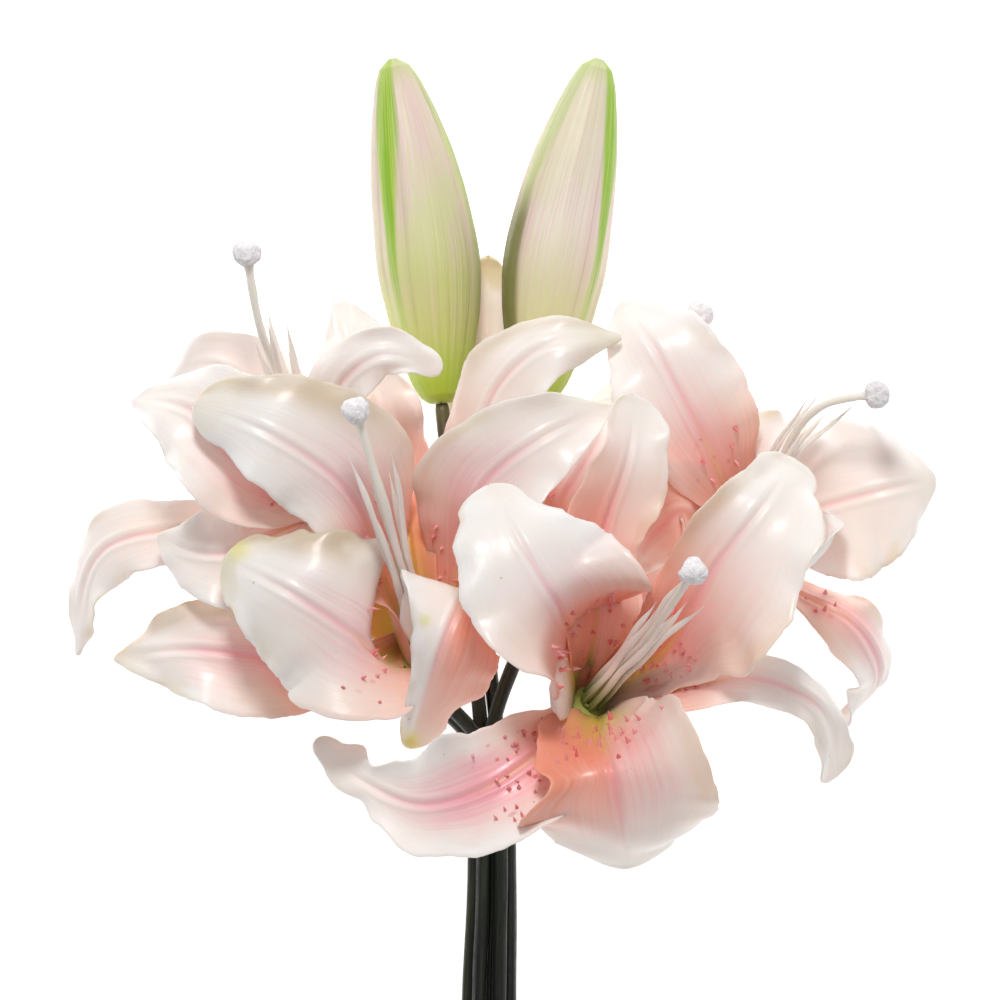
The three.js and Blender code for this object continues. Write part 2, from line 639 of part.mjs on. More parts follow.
// Buds
function makeBud(bud) {
  const points = [bud.foot, bud.middle, bud.tip].map(fromPicture);
  const start = points[1].clone().sub(points[0]);
  const line = evenlySpaced(curveThrough(points, start, 20), 200);
  const rings = BUD_PROFILE.map(([reach]) => line[Math.round(reach * 200)]);
  const radii = BUD_PROFILE.map(([, size]) => size * BUD_RADIUS);
  const ribs = (angle) => 1 + BUD_RIB * Math.cos(3 * angle);
  return aboveTable(tube(rings, radii, BUD_SIDES, ribs));
}

// Stems
function bundlePoints(stem) {
  return BUNDLE.map(({ place, spread }) => {
    const point = fromPicture(place);
    point.x += stem.column * STEM_SPACING * spread;
    point.z += stem.row * STEM_SPACING * STEM_ROW_RISE * spread;
    return point;
  });
}

function stemLine(stem) {
  let top;
  let start;
  if (stem.bloom) {
    const { throat, axis } = bloomFrame(BLOOMS[stem.bloom]);
    start = axis.clone().negate();
    top = along(throat, start, NECK_LENGTH + SEAT_GAP);
  } else {
    const foot = fromPicture(BUDS[stem.bud].foot);
    start = foot.clone().sub(fromPicture(BUDS[stem.bud].middle)).normalize();
    top = along(foot, start, SEAT_GAP);
  }
  const low = bundlePoints(stem);
  const down = low[1].clone().sub(low[0]).normalize();
  const upper = [along(top, start, STEM_STRAIGHT), ...stem.via.map(fromPicture), low[0]];
  const bent = curveThrough(upper, start, STEM_STEPS, down);
  bent.pop();
  return [top, ...bent, ...curveThrough(low, down, STEM_STEPS)];
}

function makeStem(stem) {
  const line = stemLine(stem);
  return aboveTable(tube(line, line.map(() => STEM_RADIUS), STEM_SIDES));
}

// Clear strap round the stems with one free end
function makeStrap() {
  const [from, to] = [BUNDLE[0], BUNDLE[1]].map(({ place }) => fromPicture(place));
  const down = to.clone().sub(from).normalize();
  const high = along(from, down, STRAP_FROM_TOP);
  const low = along(high, down, STRAP_WIDTH);
  const across = STEM_SPACING + STEM_RADIUS + STRAP_CLEARANCE;
  const outer = tube([high, low], [across + STRAP_THICKNESS, across + STRAP_THICKNESS], STRAP_SIDES);
  const bore = [along(high, down, -1), along(low, down, 1)];
  const ring = outer.subtract(tube(bore, [across, across], STRAP_SIDES));
  return ring.add(strapTail(high, low, across + STRAP_THICKNESS / 2));
}

// The strap's free end stands out beside the stems and curls up
function strapTail(high, low, radius) {
  const middle = high.clone().lerp(low, 0.5);
  const side = new THREE.Vector3(1, 0, 0);
  const rise = new THREE.Vector3(0, 0, 1);
  const bends = [[0, 0.15], [1.2, 0.55], [4.5, 0.8], [8.5, 1.25], [11, 2.3]];
  const places = [];
  const half = STRAP_WIDTH / 2 - 0.4;
  const along0 = low.clone().sub(high).normalize();
  bends.forEach(([out, up]) => {
    const root = along(along(middle, side, radius * 0.94 + out), rise, up * 2.2);
    for (const edge of [-half, half]) {
      for (const face of [-STRAP_THICKNESS / 2, STRAP_THICKNESS / 2]) {
        places.push(along(along(root, along0, edge), rise, face));
      }
    }
  });
  const order = [0, 1, 3, 2];
  const faces = [];
  for (let i = 0; i < bends.length - 1; i += 1) {
    order.forEach((corner, k) => {
      const a = i * 4 + corner;
      const b = i * 4 + order[(k + 1) % 4];
      faces.push([a, a + 4, b], [b, a + 4, b + 4]);
    });
  }
  const end = (bends.length - 1) * 4;
  faces.push([0, 1, 3], [0, 3, 2], [end, end + 3, end + 1], [end, end + 2, end + 3]);
  return toSolid(places, outward(places, faces));
}

// Scene
function addPiece(group, name, solid, look) {
  const mesh = solid.getMesh();
  const geometry = new THREE.BufferGeometry();
  geometry.setAttribute("position", new THREE.BufferAttribute(new Float32Array(mesh.vertProperties), 3));
  geometry.setIndex(Array.from(mesh.triVerts));
  geometry.computeVertexNormals();
  const material = new THREE.MeshStandardMaterial({ color: look.color, roughness: look.roughness, metalness: 0 });
  const piece = new THREE.Mesh(geometry, material);
  piece.name = name;
  group.add(piece);
}

function buildBunch() {
  const group = new THREE.Group();
  group.name = "cut_lily_bunch";
  Object.entries(BLOOMS).forEach(([name, bloom], number) => {
    addPiece(group, `${name}_petals`, makePetals(bloom), COLOURS.petal);
    addPiece(group, `${name}_pistil`, makePistil(bloom), COLOURS.pistil);
    addPiece(group, `${name}_stamens`, makeStamens(bloom, number + 1), COLOURS.stamen);
  });
  Object.entries(BUDS).forEach(([name, bud]) => {
    addPiece(group, `${name}_bud`, makeBud(bud), COLOURS.bud);
  });
  Object.entries(STEMS).forEach(([name, stem]) => {
    addPiece(group, `${name}_stem`, makeStem(stem), COLOURS.stem);
  });
  addPiece(group, "strap", makeStrap(), COLOURS.strap);
  return group;
}

export default buildBunch();
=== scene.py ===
"""A gathered bunch of cut lilies on its back: petals, pistils, filaments, buds and stems."""

import bmesh
import bpy
import numpy as np
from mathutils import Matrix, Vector, noise


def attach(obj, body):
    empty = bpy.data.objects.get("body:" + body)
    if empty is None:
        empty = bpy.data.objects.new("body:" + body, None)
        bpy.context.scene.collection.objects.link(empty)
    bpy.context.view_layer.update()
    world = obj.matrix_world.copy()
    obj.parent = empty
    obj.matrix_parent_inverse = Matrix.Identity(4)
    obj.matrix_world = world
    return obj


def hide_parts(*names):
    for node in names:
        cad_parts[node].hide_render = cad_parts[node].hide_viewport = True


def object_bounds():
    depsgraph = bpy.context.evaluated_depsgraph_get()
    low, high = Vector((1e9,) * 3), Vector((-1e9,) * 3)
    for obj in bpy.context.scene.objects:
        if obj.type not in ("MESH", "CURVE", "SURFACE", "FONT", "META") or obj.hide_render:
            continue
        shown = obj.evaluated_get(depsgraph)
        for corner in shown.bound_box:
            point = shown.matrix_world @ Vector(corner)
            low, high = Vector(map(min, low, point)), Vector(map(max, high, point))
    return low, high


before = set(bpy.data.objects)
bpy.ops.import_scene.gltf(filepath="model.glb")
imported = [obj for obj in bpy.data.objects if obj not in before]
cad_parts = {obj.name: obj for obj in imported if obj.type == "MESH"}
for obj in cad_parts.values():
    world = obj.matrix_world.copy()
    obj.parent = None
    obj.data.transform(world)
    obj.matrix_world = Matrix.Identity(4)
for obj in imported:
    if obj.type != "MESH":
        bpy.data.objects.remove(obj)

CAD_BOX = [list(corner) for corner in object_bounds()]

# Places are [pixel across, pixel down, height above the table in mm], seen straight from above.
MM_PER_PIXEL = 0.3
PICTURE_MIDDLE_ACROSS = 501
PICTURE_MIDDLE_DOWN = 682

# Petals, in millimetres
PATH_STEPS = 240
PETAL_ROWS = 88
PETAL_COLUMNS = 44
PETAL_MIDDLE_THICKNESS = 0.9
PETAL_EDGE_THICKNESS = 0.6
PETAL_TIP_HALF_WIDTH = 0.45
PETAL_ROOT_HALF_WIDTH = 5.2
PETAL_ROOT_DEPTH = 2
FACING_REACHED = 0.55
BEND_PLACES = [0, 0.5, 1]
MARGIN_WAVE_HEIGHT = 2
MARGIN_WAVES = 3.3
RIPPLE_HEIGHT = 0.45
RIPPLES = 8.7
DENT_DEPTH = 0.7
RAGGEDNESS = 0.018
GROOVE_DEPTH = 0.5
GROOVE_HALF_WIDTH = 0.8
RIDGE_HEIGHT = 0.35
RIDGE_PLACE = 2.1
KEEL_HEIGHT = 0.55
INNER_WHORL = {"ring": 5, "flare": 14, "widest": 0.54, "point": 0.85}
OUTER_WHORL = {"ring": 6.4, "flare": 20, "widest": 0.5, "point": 0.95}
SEAT_ANGLE = 60
OPEN_FROM = 0.2
OPEN_REACH = 0.28

# Receptacle, pistil and stamens, in millimetres
NECK_LENGTH = 10
NECK_PROFILE = [(0, 2.7), (0.03, 3), (0.25, 4), (0.5, 5.2), (0.75, 6.1), (0.96, 6.9), (1, 6.6)]
SEAT_GAP = 0.3
OVARY_RADIUS = 1.8
STYLE_RADIUS = 1.25
STIGMA_RADIUS = 4.2
STAMEN_RING_RADIUS = 3.3
STAMEN_RING_BORE = 2.45
STAMEN_RING_HEIGHT = 1.7
RING_SIDES = 24
NECK_SIDES = 36
STYLE_SIDES = 20
FILAMENT_SIDES = 14
FILAMENT_FOOT_SEAT = 2.95
FILAMENT_MIDDLE_SEAT = 3.3
FILAMENTS = 6
FILAMENT_SHARE = 0.7

# Buds
BUD_RADIUS = 15.7
BUD_RIB = 0.035
BUD_SIDES = 108
BUD_SEAM = 0.36
BUD_TWIST = 0.25
BUD_PROFILE = [
    (0, 0.2), (0.004, 0.27), (0.02, 0.4), (0.06, 0.54), (0.13, 0.69), (0.24, 0.87), (0.36, 0.99),
    (0.41, 1), (0.46, 0.99), (0.6, 0.915), (0.72, 0.8), (0.835, 0.625), (0.93, 0.44), (0.975, 0.3),
    (1, 0.08),
]

# Stems and the strap
STEM_RADIUS = 2.2
STEM_SIDES = 28
STEM_SPACING = 4.95
STEM_ROW_RISE = 0.866
STEM_STRAIGHT = 4
STRAP_CLEARANCE = 0.45
STRAP_THICKNESS = 0.8
STRAP_WIDTH = 8
STRAP_FROM_TOP = 3
STRAP_SIDES = 72

# Lamps: name, place and size in metres, and power in watts
LAMPS = [("key", (-0.1, 1.25, 1.6), 0.4, 22), ("fill", (0.6, -1.2, 1.4), 1.6, 3.2)]
LAMP_AIM = (0, 0.05, 0.05)
CAMERA_HEIGHT = 6.075


def petal(half_width, facing, bends, midrib, **more):
    """Half width, turn of the inner face, bends across from root to tip, and the midrib."""
    return {"half_width": half_width, "facing": facing, "bends": bends, "midrib": midrib, **more}


# Petals run clockwise round the bloom, inner and outer ones in turn.
# Some petal values stand for light: a shadowed half and a tan margin are painted shadow, an olive tip is
# painted shade, and the coral towards the throat is partly the petal's own colour and partly painted glow
# and shade.
BLOOMS = {
    "front_right": {
        "first_seat": 155, "throat": [590, 702, 72], "axis": [0.42, 0.48, 0.77],
        "stigma": [690, 573, 132],
        "petals": [
            petal(34, 16, [60, 75, -15, -20],
                  [[568, 640, 88], [558, 606, 112], [550, 592, 117], [528, 555, 119],
                   [489, 487, 106]],
                  bend_at=[0, 0.5, 0.64, 1], reached=0.62, blush=0.6, glow=1.3, warm_to=0.66,
                  dots=1.0, green_to=0.3,
                  widths=[(0, 5.2), (0.05, 13, 6), (0.11, 22, 9), (0.2, 27, 14), (0.3, 24, 20),
                          (0.42, 23, 28), (0.55, 26, 34),
                          (0.69, 24, 24), (0.82, 19, 17), (0.94, 12, 9), (1, 0)],
                  open_left=1,
                  wave=0.5),
            petal(18, 20, [60, 45, 20],
                  [[596, 620, 86], [603, 533, 92], [627, 455, 96], [632, 396, 88]],
                  widths=[(0, 5.2), (0.16, 10, 11), (0.34, 15, 13), (0.5, 18, 11), (0.6, 16, 12),
                          (0.71, 13, 15), (0.86, 8, 11),
                          (1, 0)],
                  blush=0.7, glow=1.45, warm_to=1.0, warm_side=0.6),
            petal(22, -10, [60, 50, 5],
                  [[662, 652, 88], [718, 560, 112], [764, 502, 112], [792, 460, 98]],
                  widths=[(0, 5.2), (0.25, 12), (0.38, 13, 20), (0.5, 14, 32), (0.62, 14, 32),
                          (0.78, 13, 22), (0.93, 9, 10), (1, 0)],
                  blush=0.8, glow=1.35, warm_to=0.82, warm_side=0.6, dots=1.0, green_to=0.34,
                  tan=(1, 0.45)),
            petal(10, 0, [60, -20, 10],
                  [[670, 690, 88], [750, 677, 101], [812, 702, 90], [836, 776, 66]],
                  widths=[(0, 5.2), (0.3, 7.5), (0.55, 7), (0.75, 5.5), (0.87, 5), (0.95, 7),
                          (1, 0)],
                  blush=0.4, glow=0.8, warm_to=0.5),
            petal(30, 8, [60, 45, 25, -35, -35],
                  [[600, 736, 96], [612, 771, 112], [622, 828, 104], [624, 866, 84]],
                  bend_at=[0, 0.4, 0.6, 0.8, 1],
                  widths=[(0, 5.2), (0.3, 21, 19), (0.45, 28, 24), (0.58, 32, 31), (0.75, 26, 30),
                          (0.9, 16, 22), (1, 0)],
                  blush=1.0, glow=1.4, warm_to=0.95, warm_side=-0.75, dots=1.0, green_to=0.46),
            petal(20, 10, [60, 35, 25, -30],
                  [[550, 742, 92], [490, 785, 100], [415, 803, 90], [366, 782, 82], [316, 742, 72]],
                  bend_at=[0, 0.5, 0.74, 1], blush=1.25, glow=0.6, warm_to=0.4, dots=1.0,
                  green_to=0.2,
                  widths=[(0, 5.2), (0.12, 15, 8), (0.28, 23, 15), (0.45, 21, 20), (0.6, 16, 18),
                          (0.72, 9, 11), (0.8, 5, 5.5), (0.88, 6, 7.5), (0.95, 3.4, 4.2),
                          (1, 0)]),
        ],
    },
    "front_left": {
        "first_seat": 90, "throat": [424, 655, 62], "axis": [-0.18, 0.7, 0.69],
        "stigma": [358, 415, 118],
        "petals": [
            petal(13, -20, [30, 20, 15],
                  [[412, 565, 64], [405, 485, 54], [398, 425, 50], [384, 372, 46]],
                  widths=[(0, 5.2), (0.06, 15, 6), (0.14, 22, 6.5), (0.26, 21, 7.5),
                          (0.38, 16, 8.5), (0.54, 13, 11),
                          (0.8, 8, 8), (1, 0)],
                  blush=0.9, glow=1.3, warm_to=1.1, green_to=0.62, stains=[(398, 634, 10)]),
            petal(19, -12, [30, 25, 15],
                  [[460, 568, 72], [486, 482, 88], [545, 436, 94], [612, 408, 82]],
                  blush=0.85, glow=0.9, green_to=0.3, tan=(1, 0.3)),
            petal(16, -10, [60, -10, -30, -20],
                  [[446, 622, 80], [464, 594, 97], [448, 630, 105], [427, 688, 97], [409, 746, 80]],
                  bend_at=[0, 0.4, 0.6, 1],
                  widths=[(0, 5.2), (0.3, 7, 16), (0.43, 12, 20), (0.6, 20, 9), (0.75, 18, 5),
                          (0.88, 9, 4), (1, 0)],
                  reached=0.5, wave=0.5, blush=0.1, glow=1.1, green_to=0.48, warm_to=1.3,
                  warm_side=1, olive=0.5,
                  stains=[(425, 620, 2.0), (411, 741, 2.6)]),
            petal(27, 0, [30, -36, -28],
                  [[392, 668, 76], [346, 627, 95], [284, 588, 97], [226, 560, 84]],
                  widths=[(0, 5.2), (0.12, 10, 12), (0.28, 23, 26), (0.45, 27, 31), (0.62, 24, 26),
                          (0.78, 19, 19),
                          (0.91, 12, 12), (1, 0)],
                  blush=0.6, glow=0.6, warm_to=0.45, olive=1.0, green_to=0.3, tan=(-1, 0.8),
                  stains=[(240, 549, 3.2)]),
            petal(24, 10, [40, -5, -25],
                  [[384, 585, 70], [345, 487, 90], [272, 435, 98], [196, 406, 88]],
                  widths=[(0, 5.2), (0.28, 14, 16), (0.45, 15, 23), (0.6, 16, 25), (0.76, 15, 21),
                          (0.91, 9, 13), (1, 0)],
                  blush=0.85, glow=0.9, green_to=0.3, olive=0.4, tan=(-1, 0.75)),
            petal(18, 6, [30, 10, -5],
                  [[370, 665, 62], [280, 660, 66], [190, 650, 64], [114, 660, 48]],
                  blush=1.3, glow=0.85, green_to=0.42, olive=0.6, tan=(-1, 0.9)),
        ],
    },
    "back_left": {
        "first_seat": 80, "throat": [318, 520, 44], "axis": [-0.2, 0.85, 0.45],
        "stigma": [248, 258, 92],
        "style_via": [258, 318, 84], "filament_share": 0.62,
        "petals": [
            petal(13, 0, [60, 10, 5], [[330, 440, 38], [350, 380, 38], [352, 335, 38],
                                       [334, 298, 32]],
                  blush=0.6, glow=1.2),
            petal(15, -25, [60, -20, -20],
                  [[340, 445, 64], [340, 385, 76], [378, 356, 82], [440, 371, 76]],
                  widths=[(0, 5.2), (0.4, 13, 13), (0.6, 10, 10), (0.8, 8, 6), (0.93, 5, 3),
                          (1, 0)],
                  blush=0.06, glow=0.3),
            petal(17, 0, [60, -5, 0], [[285, 530, 66], [240, 552, 72], [195, 552, 70],
                                       [158, 536, 62]],
                  blush=0.4, glow=0.3),
            petal(21, 12, [60, 15, 0],
                  [[280, 492, 68], [240, 450, 80], [190, 410, 78], [132, 402, 64]],
                  blush=1.05, glow=0.7),
            petal(11, 20, [60, -15, -20],
                  [[270, 540, 44], [190, 530, 52], [110, 545, 44], [74, 655, 18]],
                  blush=0.12, glow=0.25, olive=1.2),
            petal(14, 0, [60, -20, -10],
                  [[284, 455, 46], [255, 390, 54], [215, 365, 56], [165, 385, 44]],
                  blush=0.15, glow=0.35, olive=0.5),
        ],
    },
    "right": {
        "first_seat": 125, "throat": [745, 540, 44], "axis": [0.3, 0.68, 0.66],
        "stigma": [872, 395, 92],
        "style_via": [829, 403, 87],
        "petals": [
            petal(19, 0, [60, 0, -20],
                  [[712, 455, 64], [684, 400, 72], [655, 348, 72], [622, 304, 56]],
                  point=0.6, blush=0.6, glow=1.0, warm_to=0.6, dots=0.4),
            petal(18, 0, [60, 10, 0], [[750, 492, 50], [768, 462, 56], [785, 445, 56],
                                       [806, 426, 48]],
                  blush=0.5, glow=0.6),
            petal(24, 0, [60, -5, -20],
                  [[795, 518, 54], [845, 500, 66], [895, 488, 68], [936, 480, 60]],
                  point=0.7, blush=0.12, glow=0.0),
            petal(9, -45, [60, 15, 10],
                  [[785, 560, 62], [812, 560, 74], [824, 545, 74], [822, 512, 64]],
                  blush=0.2, glow=0.3),
            petal(10, -35, [60, -25, -20],
                  [[790, 590, 58], [850, 622, 62], [880, 675, 44], [828, 735, 20]],
                  blush=0.8, glow=0.7),
            petal(15, 0, [60, 0, -15],
                  [[700, 530, 58], [680, 513, 66], [658, 530, 63], [634, 572, 47]],
                  blush=0.1, glow=0.75, warm_to=1.5),
        ],
    },
    "back": {
        "first_seat": 150, "throat": [560, 570, 32], "axis": [0.45, 0.85, 0.15],
        "stigma": [698, 316, 50],
        "petals": [
            petal(15, -35, [60, -20, -30],
                  [[492, 490, 50], [488, 405, 66], [545, 346, 76], [620, 338, 70]],
                  blush=0.05, glow=0.7, olive=0.9, tan=(1, 0.4)),
            petal(17, 0, [60, 0, -15],
                  [[505, 560, 15], [440, 540, 8], [380, 520, 4], [310, 495, 0.3]],
                  blush=0.8, glow=0.8),
            petal(12, 0, [60, 10, 10],
                  [[515, 500, 14], [490, 410, 5], [487, 330, 2.5], [488, 254, 3]],
                  point=0.5, blush=0, glow=0.2, olive=1.6),
            petal(14, 0, [60, 0, -15],
                  [[590, 500, 24], [620, 440, 17], [655, 385, 12], [690, 345, 4]],
                  blush=0.8, glow=0.8),
            petal(14, 0, [60, 0, -15],
                  [[610, 592, 24], [660, 602, 13], [710, 604, 5], [765, 610, 0.4]],
                  blush=0.8, glow=0.8),
            petal(13, 0, [60, 25, 10],
                  [[565, 500, 52], [590, 455, 60], [606, 425, 60], [616, 398, 50]],
                  blush=0.6, glow=1.0),
        ],
    },
}

# Each bud's green stripes stand a third of a turn apart; the first one's angle is in degrees from +X.
# The right bud's left flank carries painted shade.
BUDS = {
    "left": {"foot": [441, 402, 19], "middle": [427, 262, 15], "tip": [391, 54, 13], "stripe": 138,
             "greens": [1, 0.12, 0.5],
             "pale": 0.0},
    "right": {"foot": [537, 400, 19], "middle": [554, 262, 15.2], "tip": [600, 54, 13],
              "stripe": 36, "greens": [1.0, 0.4, 0.5],
              "pale": 1.0, "dusk": 1.0},
}

# Where each stem lies in the bundle, and where it passes on its way there.
STEMS = {
    "front_right": {"bloom": "front_right", "column": 0.5, "row": 1, "via": [[552, 735, 52]]},
    "front_left": {"bloom": "front_left", "column": -0.5, "row": 1, "via": [[448, 705, 52]]},
    "back_left": {"bloom": "back_left", "column": -1, "row": 0,
                  "via": [[345, 590, 30], [420, 690, 34]]},
    "right": {"bloom": "right", "column": 1, "row": 0, "via": [[705, 600, 24], [600, 705, 30]]},
    "back": {"bloom": "back", "column": 0, "row": 0, "via": [[520, 650, 38]]},
    "bud_left": {"bud": "left", "column": -0.5, "row": -1, "via": [[449, 470, 22], [468, 620, 30]]},
    "bud_right": {"bud": "right", "column": 0.5, "row": -1,
                  "via": [[528, 440, 21], [492, 520, 27], [488, 640, 29]]},
}

BUNDLE = [([490, 755, 43], 1), ([492, 860, 36], 1.04), ([489, 1000, 26.5], 1.22), ([486, 1310, 8], 1.4)]


# Small helpers, all in millimetres until a mesh is made
def from_picture(place):
    across, down, height = place
    return np.array([(across - PICTURE_MIDDLE_ACROSS) * MM_PER_PIXEL,
                     (PICTURE_MIDDLE_DOWN - down) * MM_PER_PIXEL, height], float)


def smooth(t):
    t = np.clip(t, 0, 1)
    return t * t * (3 - 2 * t)


def unit(vectors):
    vectors = np.asarray(vectors, float)
    return vectors / np.maximum(np.linalg.norm(vectors, axis=-1, keepdims=True), 1e-12)


def curve_through(points, start, per_span, end=None):
    points = np.asarray(points, float)
    last = len(points) - 1
    spans = np.linalg.norm(np.diff(points, axis=0), axis=1)
    slopes = np.zeros_like(points)
    slopes[0] = unit(start)
    for i in range(1, last):
        before = (points[i] - points[i - 1]) * spans[i] / spans[i - 1]
        after = (points[i + 1] - points[i]) * spans[i - 1] / spans[i]
        slopes[i] = (before + after) / (spans[i - 1] + spans[i])
    if end is None:
        step = 1.5 * (points[last] - points[last - 1])
        slopes[last] = step / spans[last - 1] - 0.5 * slopes[last - 1]
    else:
        slopes[last] = end
    out = []
    for i in range(last):
        steps = per_span - 1 if i == last - 1 else per_span
        t = np.arange(per_span)[:, None] / steps
        place = (2 * t**3 - 3 * t**2 + 1) * points[i] + (t**3 - 2 * t**2 + t) * spans[i] * slopes[i]
        place = place + (3 * t**2 - 2 * t**3) * points[i + 1]
        out.append(place + (t**3 - t**2) * spans[i] * slopes[i + 1])
    return np.vstack(out)


def evenly_spaced(points, steps):
    reach = np.concatenate([[0], np.cumsum(np.linalg.norm(np.diff(points, axis=0), axis=1))])
    goals = np.linspace(0, reach[-1], steps + 1)
    return np.stack([np.interp(goals, reach, points[:, k]) for k in range(3)], axis=1)


def at(rows, share):
    """Rows of vectors read at shares 0 to 1 of their length."""
    places = np.linspace(0, 1, len(rows))
    return np.stack([np.interp(share, places, rows[:, k]) for k in range(rows.shape[1])], axis=-1)


def carried_sides(points, first_side):
    """Directions along a line, and a side direction carried down it without twisting."""
    count = len(points)
    ahead = np.minimum(np.arange(count) + 1, count - 1)
    behind = np.maximum(np.arange(count) - 1, 0)
    heads = unit(points[ahead] - points[behind])
    sides = [unit(first_side - np.dot(first_side, heads[0]) * heads[0])]
    for i in range(count - 1):
        step = points[i + 1] - points[i]
        size = step @ step
        side = sides[i] - 2 * (step @ sides[i]) / size * step
        head = heads[i] - 2 * (step @ heads[i]) / size * step
        turn = heads[i + 1] - head
        if turn @ turn > 1e-12:
            side = side - 2 * (turn @ side) / (turn @ turn) * turn
        sides.append(unit(side - (side @ heads[i + 1]) * heads[i + 1]))
    return heads, np.array(sides)


def bloom_frame(bloom):
    axis = unit(bloom["axis"])
    east = unit(np.cross([0, 1, 0], axis))
    return from_picture(bloom["throat"]), axis, east, np.cross(axis, east)


def round_the_axis(east, north, degrees):
    return east * np.cos(np.radians(degrees)) + north * np.sin(np.radians(degrees))


class Shell:
    """Points, faces and surface values gathered for one mesh."""

    def __init__(self):
        self.places, self.faces, self.slots, self.values = [], [], [], {}
        self.count = 0

    def add(self, places, faces, slot=0, **values):
        faces = outward(places, faces)
        self.places.append(places)
        self.faces.extend([tuple(int(k) + self.count for k in face) for face in faces])
        self.slots.extend([slot] * len(faces))
        for name in sorted(set(self.values) | set(values)):
            column = self.values.setdefault(name, [np.zeros(self.count)])
            value = np.asarray(values.get(name, 0), float)
            column.append(np.broadcast_to(value, (len(places),)).copy())
        self.count += len(places)

    def make(self, name, materials):
        low, high = (np.array(corner) * 1000 for corner in CAD_BOX)
        places = np.clip(np.vstack(self.places), low + 0.02, high - 0.02) / 1000
        mesh = bpy.data.meshes.new(name)
        mesh.from_pydata(places.tolist(), [], self.faces)
        for value, columns in self.values.items():
            attribute = mesh.attributes.new(value, "FLOAT", "POINT")
            attribute.data.foreach_set("value", np.concatenate(columns))
        for material in materials:
            mesh.materials.append(material)
        mesh.polygons.foreach_set("material_index", self.slots)
        mesh.polygons.foreach_set("use_smooth", [True] * len(mesh.polygons))
        mesh.update()
        piece = bpy.data.objects.new(name, mesh)
        bpy.context.scene.collection.objects.link(piece)
        return piece


def outward(places, faces):
    volume = 0.0
    for face in faces:
        a = places[face[0]]
        for k in range(1, len(face) - 1):
            b, c = places[face[k]], places[face[k + 1]]
            volume += (a[0] * (b[1] * c[2] - b[2] * c[1]) + a[1] * (b[2] * c[0] - b[0] * c[2])
                       + a[2] * (b[0] * c[1] - b[1] * c[0]))
    return [tuple(reversed(face)) for face in faces] if volume < 0 else faces


def tube(points, radii, sides, shape=None, first_side=None):
    """Closed tube; shape(angle, share) gives factors on the two radii of the cross section."""
    points = np.asarray(points, float)
    heads, _ = carried_sides(points, np.array([1.0, 0, 0]))
    if first_side is None:
        first_side = unit(np.cross(heads[0], [0.3, 0.2, 1]))
    heads, side = carried_sides(points, np.asarray(first_side, float))
    rise = np.cross(side, heads)
    angle = np.linspace(0, 2 * np.pi, sides, endpoint=False)
    share = np.linspace(0, 1, len(points))
    wide, deep = shape(angle[None, :], share[:, None]) if shape else (1.0, 1.0)
    radii = np.asarray(radii, float)[:, None]
    aside = (radii * np.cos(angle) * wide)[..., None] * side[:, None]
    upward = (radii * np.sin(angle) * deep)[..., None] * rise[:, None]
    places = (points[:, None] + (aside + upward)).reshape(-1, 3)
    places = np.vstack([places, points[0], points[-1]])
    faces = []
    for i in range(len(points) - 1):
        for k in range(sides):
            a, b = i * sides + k, i * sides + (k + 1) % sides
            faces.append((a, a + sides, b + sides, b))
    last, foot, top = (len(points) - 1) * sides, len(points) * sides, len(points) * sides + 1
    for k in range(sides):
        faces.append((foot, k, (k + 1) % sides))
        faces.append((top, last + (k + 1) % sides, last + k))
    values = {"along": np.append(np.repeat(share, sides), [0, 1]),
              "round": np.append(np.tile(angle, len(points)), [0, 0])}
    return places, faces, values


def hoop(middle, ahead, spokes, section):
    """Closed ring; its section is rows of [radius, reach ahead of the middle]."""
    places = np.vstack([middle + ahead * reach + spokes * radius for radius, reach in section])
    sides = len(spokes)
    faces = []
    for i in range(len(section)):
        following = (i + 1) % len(section) * sides
        for k in range(sides):
            beside = (k + 1) % sides
            faces.append((i * sides + k, following + k, following + beside, i * sides + beside))
    return places, faces


# Petals
def petal_path(bloom, spec, index):
    whorl = OUTER_WHORL if index % 2 else INNER_WHORL
    throat, axis, east, north = bloom_frame(bloom)
    outwards = round_the_axis(east, north, bloom["first_seat"] - SEAT_ANGLE * index)
    root = throat + outwards * whorl["ring"] - axis * PETAL_ROOT_DEPTH
    flare = np.radians(whorl["flare"])
    start = axis * np.cos(flare) + outwards * np.sin(flare)
    points = [root] + [from_picture(place) for place in spec["midrib"]]
    line = evenly_spaced(curve_through(points, start, 60), PATH_STEPS)
    heads, sides = carried_sides(line, np.cross(axis, outwards))
    reached = spec.get("reached", FACING_REACHED)
    knee = round(reached * PATH_STEPS)
    inner = np.cross(sides, heads)
    if inner[0] @ outwards > 0:
        inner = -inner
    up = np.array([0, 0, 1.0])
    up = unit(up - heads[knee, 2] * heads[knee])
    gap = np.arctan2(np.cross(inner[knee], up) @ heads[knee], inner[knee] @ up)
    turn = (gap + np.radians(spec["facing"]) + np.pi) % (2 * np.pi) - np.pi
    roll = (turn * smooth(np.linspace(0, 1, PATH_STEPS + 1) / reached))[:, None]
    faces = inner * np.cos(roll) + np.cross(heads, inner) * np.sin(roll)
    length = np.linalg.norm(np.diff(line, axis=0), axis=1).sum()
    return line, faces, np.cross(faces, heads), whorl, length


def bend_at(u, spec):
    bends = np.radians(spec["bends"])
    places = spec.get("bend_at", BEND_PLACES)
    bend = np.full_like(u, bends[0])
    for k in range(1, len(bends)):
        share = (u - places[k - 1]) / (places[k] - places[k - 1])
        bend = bend + (bends[k] - bends[k - 1]) * smooth(share)
    return np.where(np.abs(bend) < 0.001, 0.001, bend)


